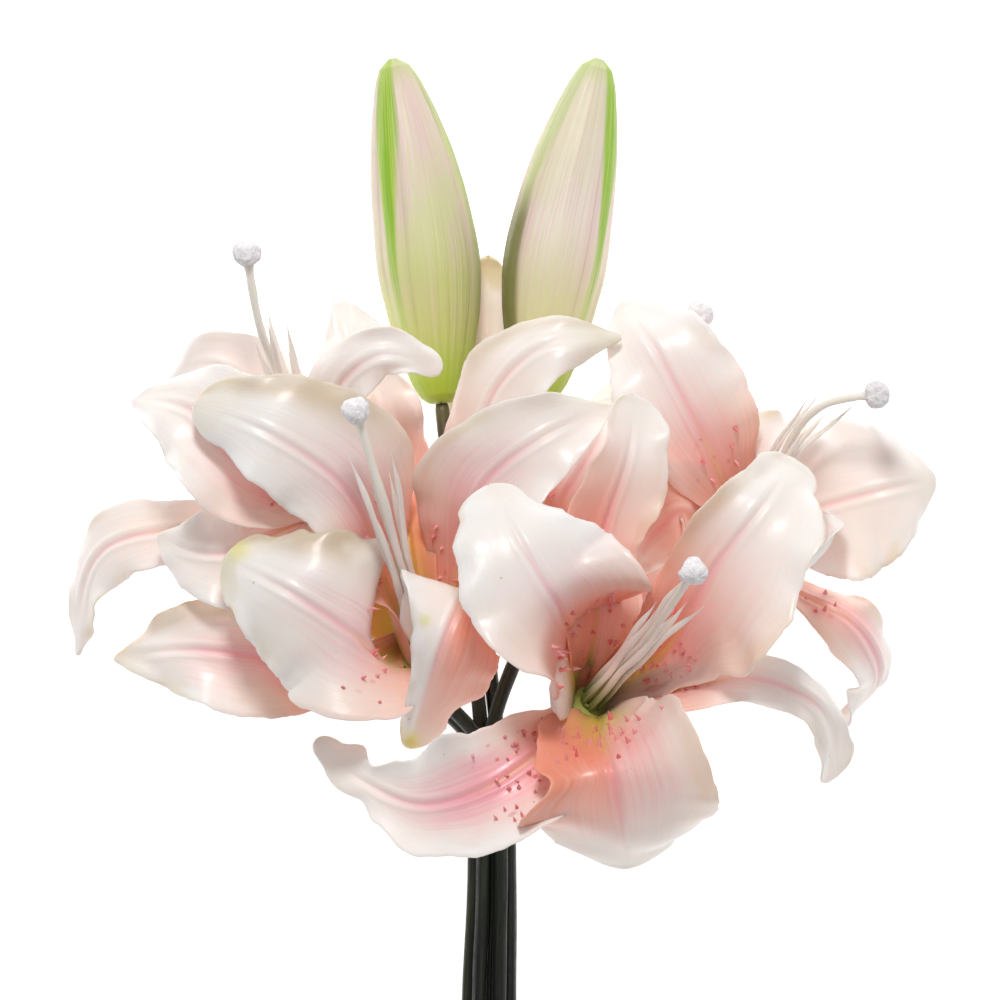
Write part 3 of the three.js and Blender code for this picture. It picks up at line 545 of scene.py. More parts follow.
def half_width_at(u, sign, spec, whorl):
    """Half width at share u; seen from root to tip, the left side has a sign above 0."""
    if "widths" in spec:
        rows = [(row[0], row[1], row[-1]) for row in spec["widths"]]
        width = np.full(np.broadcast(u, sign).shape, float(PETAL_ROOT_HALF_WIDTH))
        for k in range(1, len(rows)):
            (before, left0, right0), (place, left1, right1) = rows[k - 1], rows[k]
            share = np.clip((u - before) / (place - before), 0, 1)
            eased = 1 - np.sqrt(1 - share**2) if k == len(rows) - 1 else smooth(share)
            width = width + np.where(sign > 0, left1 - left0, right1 - right0) * eased
        return width + PETAL_TIP_HALF_WIDTH
    claw = PETAL_ROOT_HALF_WIDTH / spec["half_width"]
    swell = claw + (1 - claw) * smooth(u / whorl["widest"])
    rest = np.clip((u - whorl["widest"]) / (1 - whorl["widest"]), 0, 1)
    taper = np.maximum(np.cos(rest * np.pi / 2), 0) ** spec.get("point", whorl["point"])
    return spec["half_width"] * swell * taper + PETAL_TIP_HALF_WIDTH


def room_inside_turn(line, across):
    """How wide the petal may be on each side before its inner edge would fold over in a turn."""
    steps = np.gradient(line, axis=0)
    size = np.linalg.norm(steps, axis=1, keepdims=True)
    curve = (np.gradient(steps / size, axis=0) / size * across).sum(1)
    rooms = []
    for sign in (-1, 1):
        room = 0.85 / np.maximum(curve * sign, 0.012)
        near = np.lib.stride_tricks.sliding_window_view(np.pad(room, 14, mode="edge"), 29).min(1)
        rooms.append(np.convolve(np.pad(near, 18, mode="edge"), np.ones(37) / 37, mode="valid"))
    return rooms


def add_petal(shell, bloom, spec, index, number):
    line, faces_up, across, whorl, length = petal_path(bloom, spec, index)
    draw = np.random.default_rng(100 * number + index)
    u = 1 - (1 - np.linspace(0, 1, PETAL_ROWS + 1)) ** 1.3
    s = np.linspace(-1, 1, PETAL_COLUMNS + 1)
    v = (s * (0.6 + 0.4 * s * s))[None, :]
    middle, face, side = (at(rows, u)[:, None] for rows in (line, faces_up, across))
    u = u[:, None]
    edge = np.abs(v) ** 3
    sign = np.sign(v)
    ragged = sum(np.sin(2 * np.pi * k * u + draw.uniform(0, 6, 2)[(sign > 0).astype(int)]) / n
                 for n, k in enumerate((5.3, 11.7, 23.1, 41.3), 1))
    full = half_width_at(u, sign, spec, whorl)
    steps = np.linspace(0, 1, PATH_STEPS + 1)
    left, right = (np.interp(u, steps, room) for room in room_inside_turn(line, across))
    room = np.where(sign < 0, left, np.where(sign > 0, right, np.maximum(left, right)))
    full = (full**-4.0 + room**-4.0) ** -0.25
    width = full * (1 + RAGGEDNESS * ragged * edge * smooth((u - 0.15) / 0.2))
    bend = bend_at(u, spec)
    opened = spec.get("open_left", 0) * (1 - smooth((u - OPEN_FROM) / OPEN_REACH)) * (v > 0)
    bend = bend * np.maximum(1 - opened, 0.02)
    grown = smooth((u - 0.2) / 0.25) * smooth((1 - u) / 0.12)
    lift = width * (1 - np.cos(bend * v)) / bend
    waving = np.sin(2 * np.pi * MARGIN_WAVES * u + index * 2.4 + sign * 1.1)
    lift = lift + MARGIN_WAVE_HEIGHT * spec.get("wave", 1) * grown * edge * waving
    rippling = np.sin(2 * np.pi * RIPPLES * u + draw.uniform(0, 6) + sign * 2.3)
    lift = lift + RIPPLE_HEIGHT * grown * edge * rippling
    dents = sum(np.sin(2 * np.pi * (a * u + b * v) + c) for a, b, c in
                zip(draw.uniform(1.2, 4.2, 5), draw.uniform(-1.1, 1.1, 5), draw.uniform(0, 6, 5))) / 2.2
    lift = lift + (DENT_DEPTH * dents * smooth((u - 0.25) / 0.2) * smooth((1 - u) / 0.15)
                   * (0.35 + 0.65 * np.abs(v)))
    sheet = middle + side * (width * np.sin(bend * v) / bend)[..., None] + face * lift[..., None]

    normal = unit(np.cross(np.gradient(sheet, axis=1), np.gradient(sheet, axis=0)))
    normal = np.where((normal * face).sum(-1, keepdims=True) < 0, -normal, normal)
    reach = width * v
    rib = smooth(u / 0.12) * (1 - smooth((u - 0.72) / 0.24))
    narrow = np.minimum(1, half_width_at(u, 1, spec, whorl) / 9)
    groove = -GROOVE_DEPTH * np.exp(-((reach / GROOVE_HALF_WIDTH) ** 2))
    ridges = RIDGE_HEIGHT * np.exp(-(((np.abs(reach) - RIDGE_PLACE) / 0.9) ** 2))
    keel = KEEL_HEIGHT * np.exp(-((reach / 1.3) ** 2))
    half = (PETAL_MIDDLE_THICKNESS + (PETAL_EDGE_THICKNESS - PETAL_MIDDLE_THICKNESS) * v**4) / 2
    nib = 0.45 * smooth((u - 0.965) / 0.03)
    front = sheet + normal * (half + nib + (groove + ridges) * rib * narrow)[..., None]
    back = sheet - normal * (half + nib + keel * rib * narrow)[..., None]

    row, count = PETAL_COLUMNS + 1, (PETAL_ROWS + 1) * (PETAL_COLUMNS + 1)
    grid = np.arange(count).reshape(PETAL_ROWS + 1, row)
    a, b = grid[:-1, :-1].ravel(), grid[1:, :-1].ravel()
    quads = [np.stack([a, b, b + 1, a + 1], 1), np.stack([a, a + 1, b + 1, b], 1) + count]
    rim = np.concatenate([grid[:, 0], grid[-1, 1:], grid[-2::-1, -1], grid[0, -2:0:-1]])
    outside = np.zeros((PETAL_ROWS + 1, row, 3))
    outside[:, 0] += unit(sheet[:, 0] - sheet[:, 1])
    outside[:, -1] += unit(sheet[:, -1] - sheet[:, -2])
    outside[-1] += unit(sheet[-1] - sheet[-2])
    turned = unit(outside.reshape(-1, 3)[rim])
    rounding = (np.broadcast_to(half + nib, (PETAL_ROWS + 1, row)).ravel()[rim] * 0.7)[:, None]
    flat_sheet = sheet.reshape(-1, 3)
    lip = flat_sheet[rim] + turned * rounding
    here, there = np.arange(len(rim)), np.roll(np.arange(len(rim)), -1)
    quads.append(np.stack([rim, 2 * count + here, 2 * count + there, rim[there]], 1))
    quads.append(np.stack([2 * count + here, rim + count, rim[there] + count, 2 * count + there], 1))
    places = np.vstack([front.reshape(-1, 3), back.reshape(-1, 3), lip])
    places[:count, 2] = np.maximum(places[:count, 2], 0.3)
    places[2 * count:, 2] = np.maximum(places[2 * count:, 2], 0.18)

    def everywhere(grid_values):
        flat = np.broadcast_to(grid_values, (PETAL_ROWS + 1, row)).ravel()
        return np.concatenate([flat, flat, flat[rim]])

    inner = np.concatenate([np.ones(count), np.zeros(count), np.full(len(rim), 0.5)])
    # Painted shadow: from the middle towards the tip, one margin half is darkened to tan, standing in for
    # the shadow of the petal above.
    painted_shade_side, painted_shade_share = spec.get("tan", (1, 0))
    tan = painted_shade_share * smooth((v * painted_shade_side - 0.35) / 0.45) * smooth((u - 0.4) / 0.25)
    stain = np.zeros(len(places))
    for stain_across, stain_down, stain_size in spec.get("stains", []):
        centre = from_picture((stain_across, stain_down, 0))[:2]
        off = np.linalg.norm(places[:, :2] - centre, axis=1) / stain_size
        stain = np.maximum(stain, np.exp(-off ** 2))
    # Painted shadow: on petals given a side, the coral stays on that half and is taken off the other, lit
    # half.
    warm_side = spec.get("warm_side", 0)
    cool = smooth(0.5 - 3 * v * warm_side) * abs(warm_side)
    dots = spec.get("dots", 0.35)
    spread = (smooth((u - 0.12) / 0.05) * smooth((0.5 - u) / 0.22)
              * (1 - smooth((np.abs(v) - 0.5) / 0.35)))
    dotted = everywhere(dots * spread * np.ones_like(v))
    # Coral towards the throat: partly the petal's own colour, partly painted glow and painted shade; the
    # opened lobe gets less of it.
    glow = spec["glow"] * (1 - 0.9 * opened * smooth(v / 0.35))
    shell.add(places, np.vstack(quads).tolist(), along=everywhere(u), across=everywhere(v),
              side_mm=everywhere(reach), length_mm=everywhere(u * length), inner=inner,
              blush=spec["blush"], glow=everywhere(glow), cool=everywhere(cool),
              warm_to=spec.get("warm_to", 0.6), green_to=spec.get("green_to", 0.2),
              olive=spec.get("olive", 0.2), tan=everywhere(tan), stain=stain,
              seed=draw.uniform(0, 50), dots=dotted, bristly=dotted * (inner > 0.9))


def smooth_radii(profile, rings, radius=1):
    share = np.linspace(0, 1, rings)
    places, sizes = np.array(profile).T
    return share, np.interp(share, places, sizes) * radius


def make_bloom(name, bloom, number, skins):
    shell = Shell()
    throat, axis, _, _ = bloom_frame(bloom)
    for index, spec in enumerate(bloom["petals"]):
        add_petal(shell, bloom, spec, index, number)
    share, radii = smooth_radii(NECK_PROFILE, 28)
    line = (throat - axis * NECK_LENGTH)[None, :] + axis * (share * NECK_LENGTH)[:, None]
    places, faces, values = tube(line, radii, NECK_SIDES)
    shell.add(places, faces, slot=1, **values)
    piece = shell.make(name + "_bloom", skins)
    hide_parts(name + "_petals")
    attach(piece, "root")
    return piece


# Pistils and filaments
def crumbly_ball(middle, head, size):
    """Three-lobed ball with a rough, crumbly skin."""
    ball = bmesh.new()
    bmesh.ops.create_icosphere(ball, subdivisions=5, radius=1)
    side = unit(np.cross(head, [0.2, 0.3, 1]))
    rise = np.cross(head, side)
    places = []
    for vert in ball.verts:
        point = vert.co.normalized()
        angle = np.arctan2(point.y, point.x)
        lobes = 1 + 0.1 * np.cos(3 * angle) * (1 - point.z**2)
        square = (abs(point.x) ** 3 + abs(point.y) ** 3 + abs(point.z) ** 3) ** (-1 / 3)
        radius = size * lobes * (0.55 + 0.45 * square) / 1.06
        seat = Vector(point) * 2.1 + Vector(middle) * 0.31
        rough = 0.1 * noise.noise(seat) + 0.09 * abs(noise.noise(seat * 3.1))
        rough += 0.04 * noise.noise(seat * 8.3)
        radius *= 1 + rough - 0.02
        places.append(middle + (side * point.x + rise * point.y + head * point.z * 0.93) * radius)
    faces = [tuple(v.index for v in face.verts) for face in ball.faces]
    ball.free()
    return np.array(places), faces


def make_pistil(name, bloom, skins):
    throat, axis, _, _ = bloom_frame(bloom)
    stigma = from_picture(bloom["stigma"])
    length = np.linalg.norm(stigma - throat)
    points = [throat + axis * SEAT_GAP, throat + axis * length * 0.52, stigma]
    if "style_via" in bloom:
        points[1:1] = [throat + axis * length * 0.38]
        points[2] = from_picture(bloom["style_via"])
    line = evenly_spaced(curve_through(points, axis, 60), 90)
    share = np.linspace(0, 1, len(line))
    swell = smooth((0.3 - share) / 0.12)
    radii = STYLE_RADIUS + (OVARY_RADIUS - STYLE_RADIUS) * swell + 0.9 * smooth((share - 0.94) / 0.06)
    radii = radii + 0.07 * np.sin(share * 37) * (1 - swell)
    shell = Shell()
    places, faces, values = tube(line, radii, STYLE_SIDES,
                                 lambda angle, _: (1 + 0.05 * np.cos(3 * angle),) * 2)
    shell.add(places, faces, **values)
    head = unit(line[-1] - line[-4])
    places, faces = crumbly_ball(stigma + head * 1.3, head, STIGMA_RADIUS)
    shell.add(places, faces, slot=1, along=1.0)
    piece = shell.make(name + "_style", skins)
    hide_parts(name + "_pistil")
    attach(piece, "root")


def flattened(angle, share):
    """A filament is wider than it is deep."""
    return 1.2 + 0 * angle * share, 0.6 + 0 * angle * share


def make_filaments(name, bloom, number, skin):
    throat, axis, east, north = bloom_frame(bloom)
    lean = from_picture(bloom["stigma"]) - throat
    length = np.linalg.norm(lean)
    lean = unit(lean)
    shell = Shell()
    angle = np.linspace(0, 2 * np.pi, RING_SIDES, endpoint=False)
    outline = [(STAMEN_RING_BORE, 0), (STAMEN_RING_RADIUS - 0.2, 0), (STAMEN_RING_RADIUS, 0.2),
               (STAMEN_RING_RADIUS, 1.4), (STAMEN_RING_RADIUS - 0.25, STAMEN_RING_HEIGHT),
               (STAMEN_RING_BORE, STAMEN_RING_HEIGHT)]
    spokes = np.cos(angle)[:, None] * east + np.sin(angle)[:, None] * north
    section = [(radius, SEAT_GAP + height) for radius, height in outline]
    shell.add(*hoop(throat, axis, spokes, section), along=0.0)
    for i in range(FILAMENTS):
        outwards = round_the_axis(east, north, bloom["first_seat"] + SEAT_ANGLE / 2 + SEAT_ANGLE * i)
        draw = (i * 0.37 + 0.21 * number) % 1
        reach = length * (bloom.get("filament_share", FILAMENT_SHARE) + 0.22 * draw)
        tip = throat + axis * reach * 0.55 + lean * reach * 0.45
        points = [throat + axis + outwards * FILAMENT_FOOT_SEAT,
                  throat + axis * reach * 0.5 + outwards * FILAMENT_MIDDLE_SEAT,
                  tip + outwards * (4.4 + 3 * draw)]
        line = evenly_spaced(curve_through(points, axis, 30), 44)
        share = np.linspace(0, 1, len(line))
        aside = np.cross(axis, outwards)
        sway = 0.5 * np.sin(share * 9 + i * 1.7) * smooth(share / 0.4)
        nod = 0.3 * np.sin(share * 13 + i) * smooth(share / 0.4)
        line = line + aside * sway[:, None] + outwards * nod[:, None]
        radii = (1.02 + 0.08 * np.sin(share * 22 + 2 * i)) * (1 - 0.2 * share)
        radii = radii * (1 - smooth((share - 0.8) / 0.2) * 0.93)
        broad_way = aside * np.cos(i) + outwards * np.sin(i) * 0.6
        places, faces, values = tube(line, radii, FILAMENT_SIDES, flattened, broad_way)
        shell.add(places, faces, **values)
    piece = shell.make(name + "_filaments", [skin])
    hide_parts(name + "_stamens")
    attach(piece, "root")


# Buds
def make_bud(name, bud, skin):
    points = [from_picture(bud[key]) for key in ("foot", "middle", "tip")]
    line = evenly_spaced(curve_through(points, points[1] - points[0], 60), 150)
    share = 0.5 - 0.5 * np.cos(np.linspace(0, np.pi, 131))
    sizes = np.array(BUD_PROFILE)
    slow = np.interp(share, sizes[:, 0], sizes[:, 1])
    soft = np.convolve(np.pad(slow, 3, mode="edge"), np.ones(7) / 7, mode="valid")
    keep = smooth((share - 0.03) / 0.05) * smooth((0.985 - share) / 0.05)
    radii = (slow + (soft - slow) * keep) * BUD_RADIUS
    rings = at(line, share)
    heads, _ = carried_sides(rings, np.array([1.0, 0, 0]))
    first = unit(np.cross(heads[0], [0.3, 0.2, 1]))
    rise = np.cross(first, heads[0])
    stripe = np.radians(bud["stripe"])
    level = np.array([np.cos(stripe), 0, np.sin(stripe)])
    start = np.arctan2(level @ rise, level @ first)

    def off_stripe(angle, share):
        turn = (angle - start + BUD_TWIST * share) * 3
        return turn, np.abs((turn + np.pi) % (2 * np.pi) - np.pi) / 3

    def ribs(angle, _):
        reach = np.minimum(share[:, None] / 0.05, 1) * np.minimum((1 - share[:, None]) / 0.08, 1)
        _, near = off_stripe(angle, share[:, None])
        seam = np.exp(-(((near - BUD_SEAM) / 0.035) ** 2))
        keel = np.exp(-((near / 0.1) ** 2)) + 0.5 * np.exp(-(((near - 1.047) / 0.07) ** 2))
        fluting = 0.0045 * np.cos(27 * angle + 2 * share[:, None]) + 0.003 * np.cos(44 * angle)
        size = 1 + BUD_RIB * np.cos(3 * angle) + (0.02 * keel - 0.028 * seam + fluting) * reach
        return size, size

    places, faces, values = tube(rings, radii, BUD_SIDES, ribs)
    values["along"] = np.append(np.repeat(share, BUD_SIDES), [0, 1])
    turn, near = off_stripe(values["round"], values["along"])
    nearest = np.round(turn / (2 * np.pi)).astype(int) % 3
    # Painted shade: the flank that faces -X is darkened from the foot to past the middle, on the bud given
    # this value.
    centres = np.vstack([np.repeat(rings, BUD_SIDES, axis=0), rings[:1], rings[-1:]])
    flank = (centres - places)[:, 0] / np.maximum(np.linalg.norm(places - centres, axis=1), 0.01)
    dusk = bud.get("dusk", 0) * smooth((flank - 0.62) / 0.1)
    dusk = dusk * smooth((0.64 - values["along"]) / 0.16)
    places[:, 2] = np.maximum(places[:, 2], 0)
    shell = Shell()
    shell.add(places, faces, stripe=near, green=np.array(bud["greens"])[nearest],
              pale=bud["pale"], dusk=dusk, seed=bud["stripe"] / 7, **values)
    piece = shell.make(name + "_bud_skin", [skin])
    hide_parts(name + "_bud")
    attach(piece, "root")


# Stems
def bundle_points(stem):
    places = []
    for place, spread in BUNDLE:
        point = from_picture(place)
        point[0] += stem["column"] * STEM_SPACING * spread
        point[2] += stem["row"] * STEM_SPACING * STEM_ROW_RISE * spread
        places.append(point)
    return places


def stem_line(stem):
    if "bloom" in stem:
        throat, axis, _, _ = bloom_frame(BLOOMS[stem["bloom"]])
        start = -axis
        top = throat + start * (NECK_LENGTH + SEAT_GAP)
    else:
        foot = from_picture(BUDS[stem["bud"]]["foot"])
        start = unit(foot - from_picture(BUDS[stem["bud"]]["middle"]))
        top = foot + start * SEAT_GAP
    low = bundle_points(stem)
    down = unit(low[1] - low[0])
    upper = [top + start * STEM_STRAIGHT] + [from_picture(place) for place in stem["via"]] + [low[0]]
    bent = curve_through(upper, start, 24, down)
    return np.vstack([top, bent[:-1], curve_through(low, down, 24)])


def make_stem(name, stem, skin, number):
    line = evenly_spaced(stem_line(stem), 150)
    share = np.linspace(0, 1, len(line))
    radii = np.full(len(line), STEM_RADIUS) + 0.05 * np.sin(share * 41 + number)
    radii[0] *= 0.85
    radii[-1] *= 0.94

    def ridged(angle, share):
        size = 1 + 0.018 * np.cos(5 * angle + 3 * share + number) + 0.012 * np.cos(9 * angle + number)
        return size, size

    places, faces, values = tube(line, radii, STEM_SIDES, ridged)
    places[:, 2] = np.maximum(places[:, 2], 0)
    shell = Shell()
    shell.add(places, faces, seed=number * 3.7, olive=1.0 if name == "back_left" else 0.25, **values)
    piece = shell.make(name + "_stalk", [skin])
    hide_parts(name + "_stem")
    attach(piece, "root")


# Strap
def make_strap(skin):
    from_, to = (from_picture(place) for place, _ in BUNDLE[:2])
    down = unit(to - from_)
    high = from_ + down * STRAP_FROM_TOP
    inner = STEM_SPACING + STEM_RADIUS + STRAP_CLEARANCE
    outer = inner + STRAP_THICKNESS
    side = unit(np.cross(down, [0.3, 0.2, 1]))
    rise = np.cross(side, down)
    angle = np.linspace(0, 2 * np.pi, STRAP_SIDES, endpoint=False)
    spokes = np.cos(angle)[:, None] * side + np.sin(angle)[:, None] * rise
    section = [(inner, 0.3), (inner + 0.15, 0.05), (outer - 0.15, 0), (outer, 0.25),
               (outer - 0.05, 2), (outer, 4), (outer - 0.05, 6), (outer, 7.75),
               (outer - 0.15, STRAP_WIDTH), (inner + 0.15, 7.95), (inner, 7.7), (inner, 4)]
    shell = Shell()
    shell.add(*hoop(high, down, spokes, section))

    # The free end stands out beside the stems and curls up.
    middle = high + down * STRAP_WIDTH / 2
    radius = inner + STRAP_THICKNESS / 2
    bends = [(0, 0.15), (1.2, 0.55), (4.5, 0.8), (8.5, 1.25), (11, 2.3)]
    roots = [middle + [radius * 0.94 + out, 0, up * 2.2] for out, up in bends]
    line = evenly_spaced(curve_through(roots, roots[1] - roots[0], 12), 30)
    heads, widths = carried_sides(line, down)
    rises = np.cross(widths, heads)
    profile = [(-3.6, -0.25), (-3.45, -0.4), (3.45, -0.4), (3.6, -0.25), (3.6, 0.25),
               (3.45, 0.4), (0, 0.33), (-3.45, 0.4), (-3.6, 0.25)]
    places = np.vstack([point + np.array([w * x + r * y for x, y in profile])
                        for point, w, r in zip(line, widths, rises)])
    n = len(profile)
    faces = [(i * n + k, i * n + (k + 1) % n, (i + 1) * n + (k + 1) % n, (i + 1) * n + k)
             for i in range(len(line) - 1) for k in range(n)]
    faces += [tuple(range(n))[::-1], tuple((len(line) - 1) * n + k for k in range(n))]
    shell.add(places, faces)
    piece = shell.make("strap_band", [skin])
    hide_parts("strap")
    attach(piece, "root")


# Bristles: small fleshy pegs that stand on the petals round each throat
def bristle_tree(skin):
    tree = bpy.data.node_groups.new("throat bristles", "GeometryNodeTree")
    face = tree.interface
    face.new_socket("Geometry", in_out="INPUT", socket_type="NodeSocketGeometry")
    for name, value in (("Pegs per square metre", 52000.0), ("Peg height", 0.0019), ("Peg radius", 0.0007)):
        face.new_socket(name, in_out="INPUT", socket_type="NodeSocketFloat").default_value = value
    face.new_socket("Seed", in_out="INPUT", socket_type="NodeSocketInt").default_value = 3
    face.new_socket("Geometry", in_out="OUTPUT", socket_type="NodeSocketGeometry")
    new, link = tree.nodes.new, tree.links.new
    source, drain = new("NodeGroupInput"), new("NodeGroupOutput")
    where = new("GeometryNodeInputNamedAttribute")
    where.data_type = "FLOAT"
    where.inputs["Name"].default_value = "bristly"
    density = new("ShaderNodeMath")
    density.operation = "MULTIPLY"
    link(where.outputs["Attribute"], density.inputs[0])
    link(source.outputs["Pegs per square metre"], density.inputs[1])
    scatter = new("GeometryNodeDistributePointsOnFaces")
    link(source.outputs["Geometry"], scatter.inputs["Mesh"])
    link(density.outputs[0], scatter.inputs["Density"])
    link(source.outputs["Seed"], scatter.inputs["Seed"])
    peg = new("GeometryNodeMeshCone")
    peg.inputs["Vertices"].default_value = 6
    peg.inputs["Side Segments"].default_value = 2
    link(source.outputs["Peg radius"], peg.inputs["Radius Bottom"])
    top = new("ShaderNodeMath")
    top.operation = "MULTIPLY"
    top.inputs[1].default_value = 0.12
    link(source.outputs["Peg radius"], top.inputs[0])
    link(top.outputs[0], peg.inputs["Radius Top"])
    link(source.outputs["Peg height"], peg.inputs["Depth"])
    size = new("FunctionNodeRandomValue")
    size.data_type = "FLOAT_VECTOR"
    size.inputs[0].default_value = (0.6, 0.6, 0.5)
    size.inputs[1].default_value = (1.3, 1.3, 1.6)
    link(source.outputs["Seed"], size.inputs["Seed"])
    stand = new("GeometryNodeInstanceOnPoints")
    link(scatter.outputs["Points"], stand.inputs["Points"])
    link(scatter.outputs["Rotation"], stand.inputs["Rotation"])
    link(peg.outputs["Mesh"], stand.inputs["Instance"])
    link(size.outputs["Value"], stand.inputs["Scale"])
    solid = new("GeometryNodeRealizeInstances")
    coat = new("GeometryNodeSetMaterial")
    coat.inputs["Material"].default_value = skin
    link(stand.outputs["Instances"], solid.inputs["Geometry"])
    link(solid.outputs["Geometry"], coat.inputs["Geometry"])
    link(coat.outputs["Geometry"], drain.inputs["Geometry"])
    return tree


def make_bristles(name, bloom_piece, tree, skin, seed):
    carrier = bpy.data.objects.new(name + "_carrier", bloom_piece.data)
    bpy.context.scene.collection.objects.link(carrier)
    grow = carrier.modifiers.new("bristles", "NODES")
    grow.node_group = tree
    for item in tree.interface.items_tree:
        if item.in_out == "INPUT" and item.name == "Seed":
            grow[item.identifier] = seed
    bpy.context.view_layer.update()
    grown = carrier.evaluated_get(bpy.context.evaluated_depsgraph_get())
    mesh = bpy.data.meshes.new_from_object(grown)
    carrier.modifiers.remove(grow)
    bpy.data.objects.remove(carrier)
    mesh.name = name + "_bristles"
    if not mesh.materials:
        mesh.materials.append(skin)
    piece = bpy.data.objects.new(name + "_bristles", mesh)
    bpy.context.scene.collection.objects.link(piece)
    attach(piece, "root")


# Finishes
class Finish:
    """A Principled material whose nodes are added and linked by short calls."""

    def __init__(self, name, **sockets):
        self.material = bpy.data.materials.new(name)
        self.material.use_nodes = True
        self.nodes, self.links = self.material.node_tree.nodes, self.material.node_tree.links
        self.skin = self.nodes["Principled BSDF"]
        for socket, value in sockets.items():
            self.skin.inputs[socket.replace("_", " ")].default_value = value
        self.place = self.nodes.new("ShaderNodeTexCoord").outputs["Object"]

    def set(self, socket, value):
        if isinstance(value, bpy.types.NodeSocket):
            self.links.new(value, socket)
        else:
            socket.default_value = value

    def math(self, operation, *values):
        node = self.nodes.new("ShaderNodeMath")
        node.operation = operation
        for socket, value in zip(node.inputs, values):
            self.set(socket, value)
        return node.outputs[0]

    def times(self, *values):
        out = values[0]
        for value in values[1:]:
            out = self.math("MULTIPLY", out, value)
        return out

    def value(self, name):
        node = self.nodes.new("ShaderNodeAttribute")
        node.attribute_name = name
        return node.outputs["Fac"]

    def ramp(self, value, start, end, low=0.0, high=1.0):
        node = self.nodes.new("ShaderNodeMapRange")
        node.interpolation_type = "SMOOTHSTEP"
        for socket, item in zip(node.inputs, (value, start, end, low, high)):
            self.set(socket, item)
        return node.outputs[0]

    def bell(self, value, middle, spread):
        off = self.math("DIVIDE", self.math("SUBTRACT", value, middle), spread)
        return self.math("POWER", 2.718, self.times(off, off, -1.0))

    def vector(self, x, y, z):
        node = self.nodes.new("ShaderNodeCombineXYZ")
        for socket, item in zip(node.inputs, (x, y, z)):
            self.set(socket, item)
        return node.outputs[0]

    def grain(self, vector, scale, detail=2.0, roughness=0.5):
        node = self.nodes.new("ShaderNodeTexNoise")
        self.set(node.inputs["Vector"], vector)
        for socket, item in (("Scale", scale), ("Detail", detail), ("Roughness", roughness)):
            node.inputs[socket].default_value = item
        return node.outputs["Fac"]

    def flecks(self, vector, scale):
        node = self.nodes.new("ShaderNodeTexVoronoi")
        self.set(node.inputs["Vector"], vector)
        node.inputs["Scale"].default_value = scale
        return node.outputs["Distance"], node.outputs["Color"]

    def mix(self, amount, first, second):
        node = self.nodes.new("ShaderNodeMix")
        node.data_type = "RGBA"
        self.set(node.inputs["Factor"], amount)
        for key, value in (("A", first), ("B", second)):
            socket = next(s for s in node.inputs if s.name == key and s.type == "RGBA")
            if isinstance(value, tuple):
                value = (*value, 1.0)
            self.set(socket, value)
        return next(s for s in node.outputs if s.type == "RGBA")

    def colour(self, value):
        self.set(self.skin.inputs["Base Color"], value)

    def roughness(self, value):
        self.set(self.skin.inputs["Roughness"], value)

    def bump(self, height, strength, distance):
        node = self.nodes.new("ShaderNodeBump")
        node.inputs["Strength"].default_value = strength
        node.inputs["Distance"].default_value = distance
        self.set(node.inputs["Height"], height)
        if self.skin.inputs["Normal"].links:
            self.set(node.inputs["Normal"], self.skin.inputs["Normal"].links[0].from_socket)
        self.set(self.skin.inputs["Normal"], node.outputs[0])

    def glowing(self, weight, radius, scale):
        self.skin.inputs["Subsurface Weight"].default_value = weight
        self.skin.inputs["Subsurface Radius"].default_value = radius
        self.skin.inputs["Subsurface Scale"].default_value = scale


CREAM = (0.96, 0.895, 0.86)
WHITE = (0.965, 0.93, 0.905)
BEIGE = (0.91, 0.78, 0.69)
PINK = (0.89, 0.41, 0.47)
ROSE = (0.86, 0.25, 0.38)
# Coral: partly the petal's own colour, partly painted glow and shade in the throat.
CORAL = (0.91, 0.29, 0.19)
SPOT = (0.64, 0.12, 0.10)
LIME = (0.56, 0.53, 0.06)
DEEP_OLIVE = (0.16, 0.17, 0.02)
# Colour of the painted shade near petal tips.
OLIVE_PAINTED_SHADE = (0.66, 0.62, 0.42)
# Colour of the painted shade along the margins.
MARGIN_PAINTED_SHADE = (0.80, 0.72, 0.58)
# Colour of the painted shadow on one margin half.
TAN_PAINTED_SHADE = (0.52, 0.42, 0.28)
STAIN = (0.72, 0.66, 0.16)


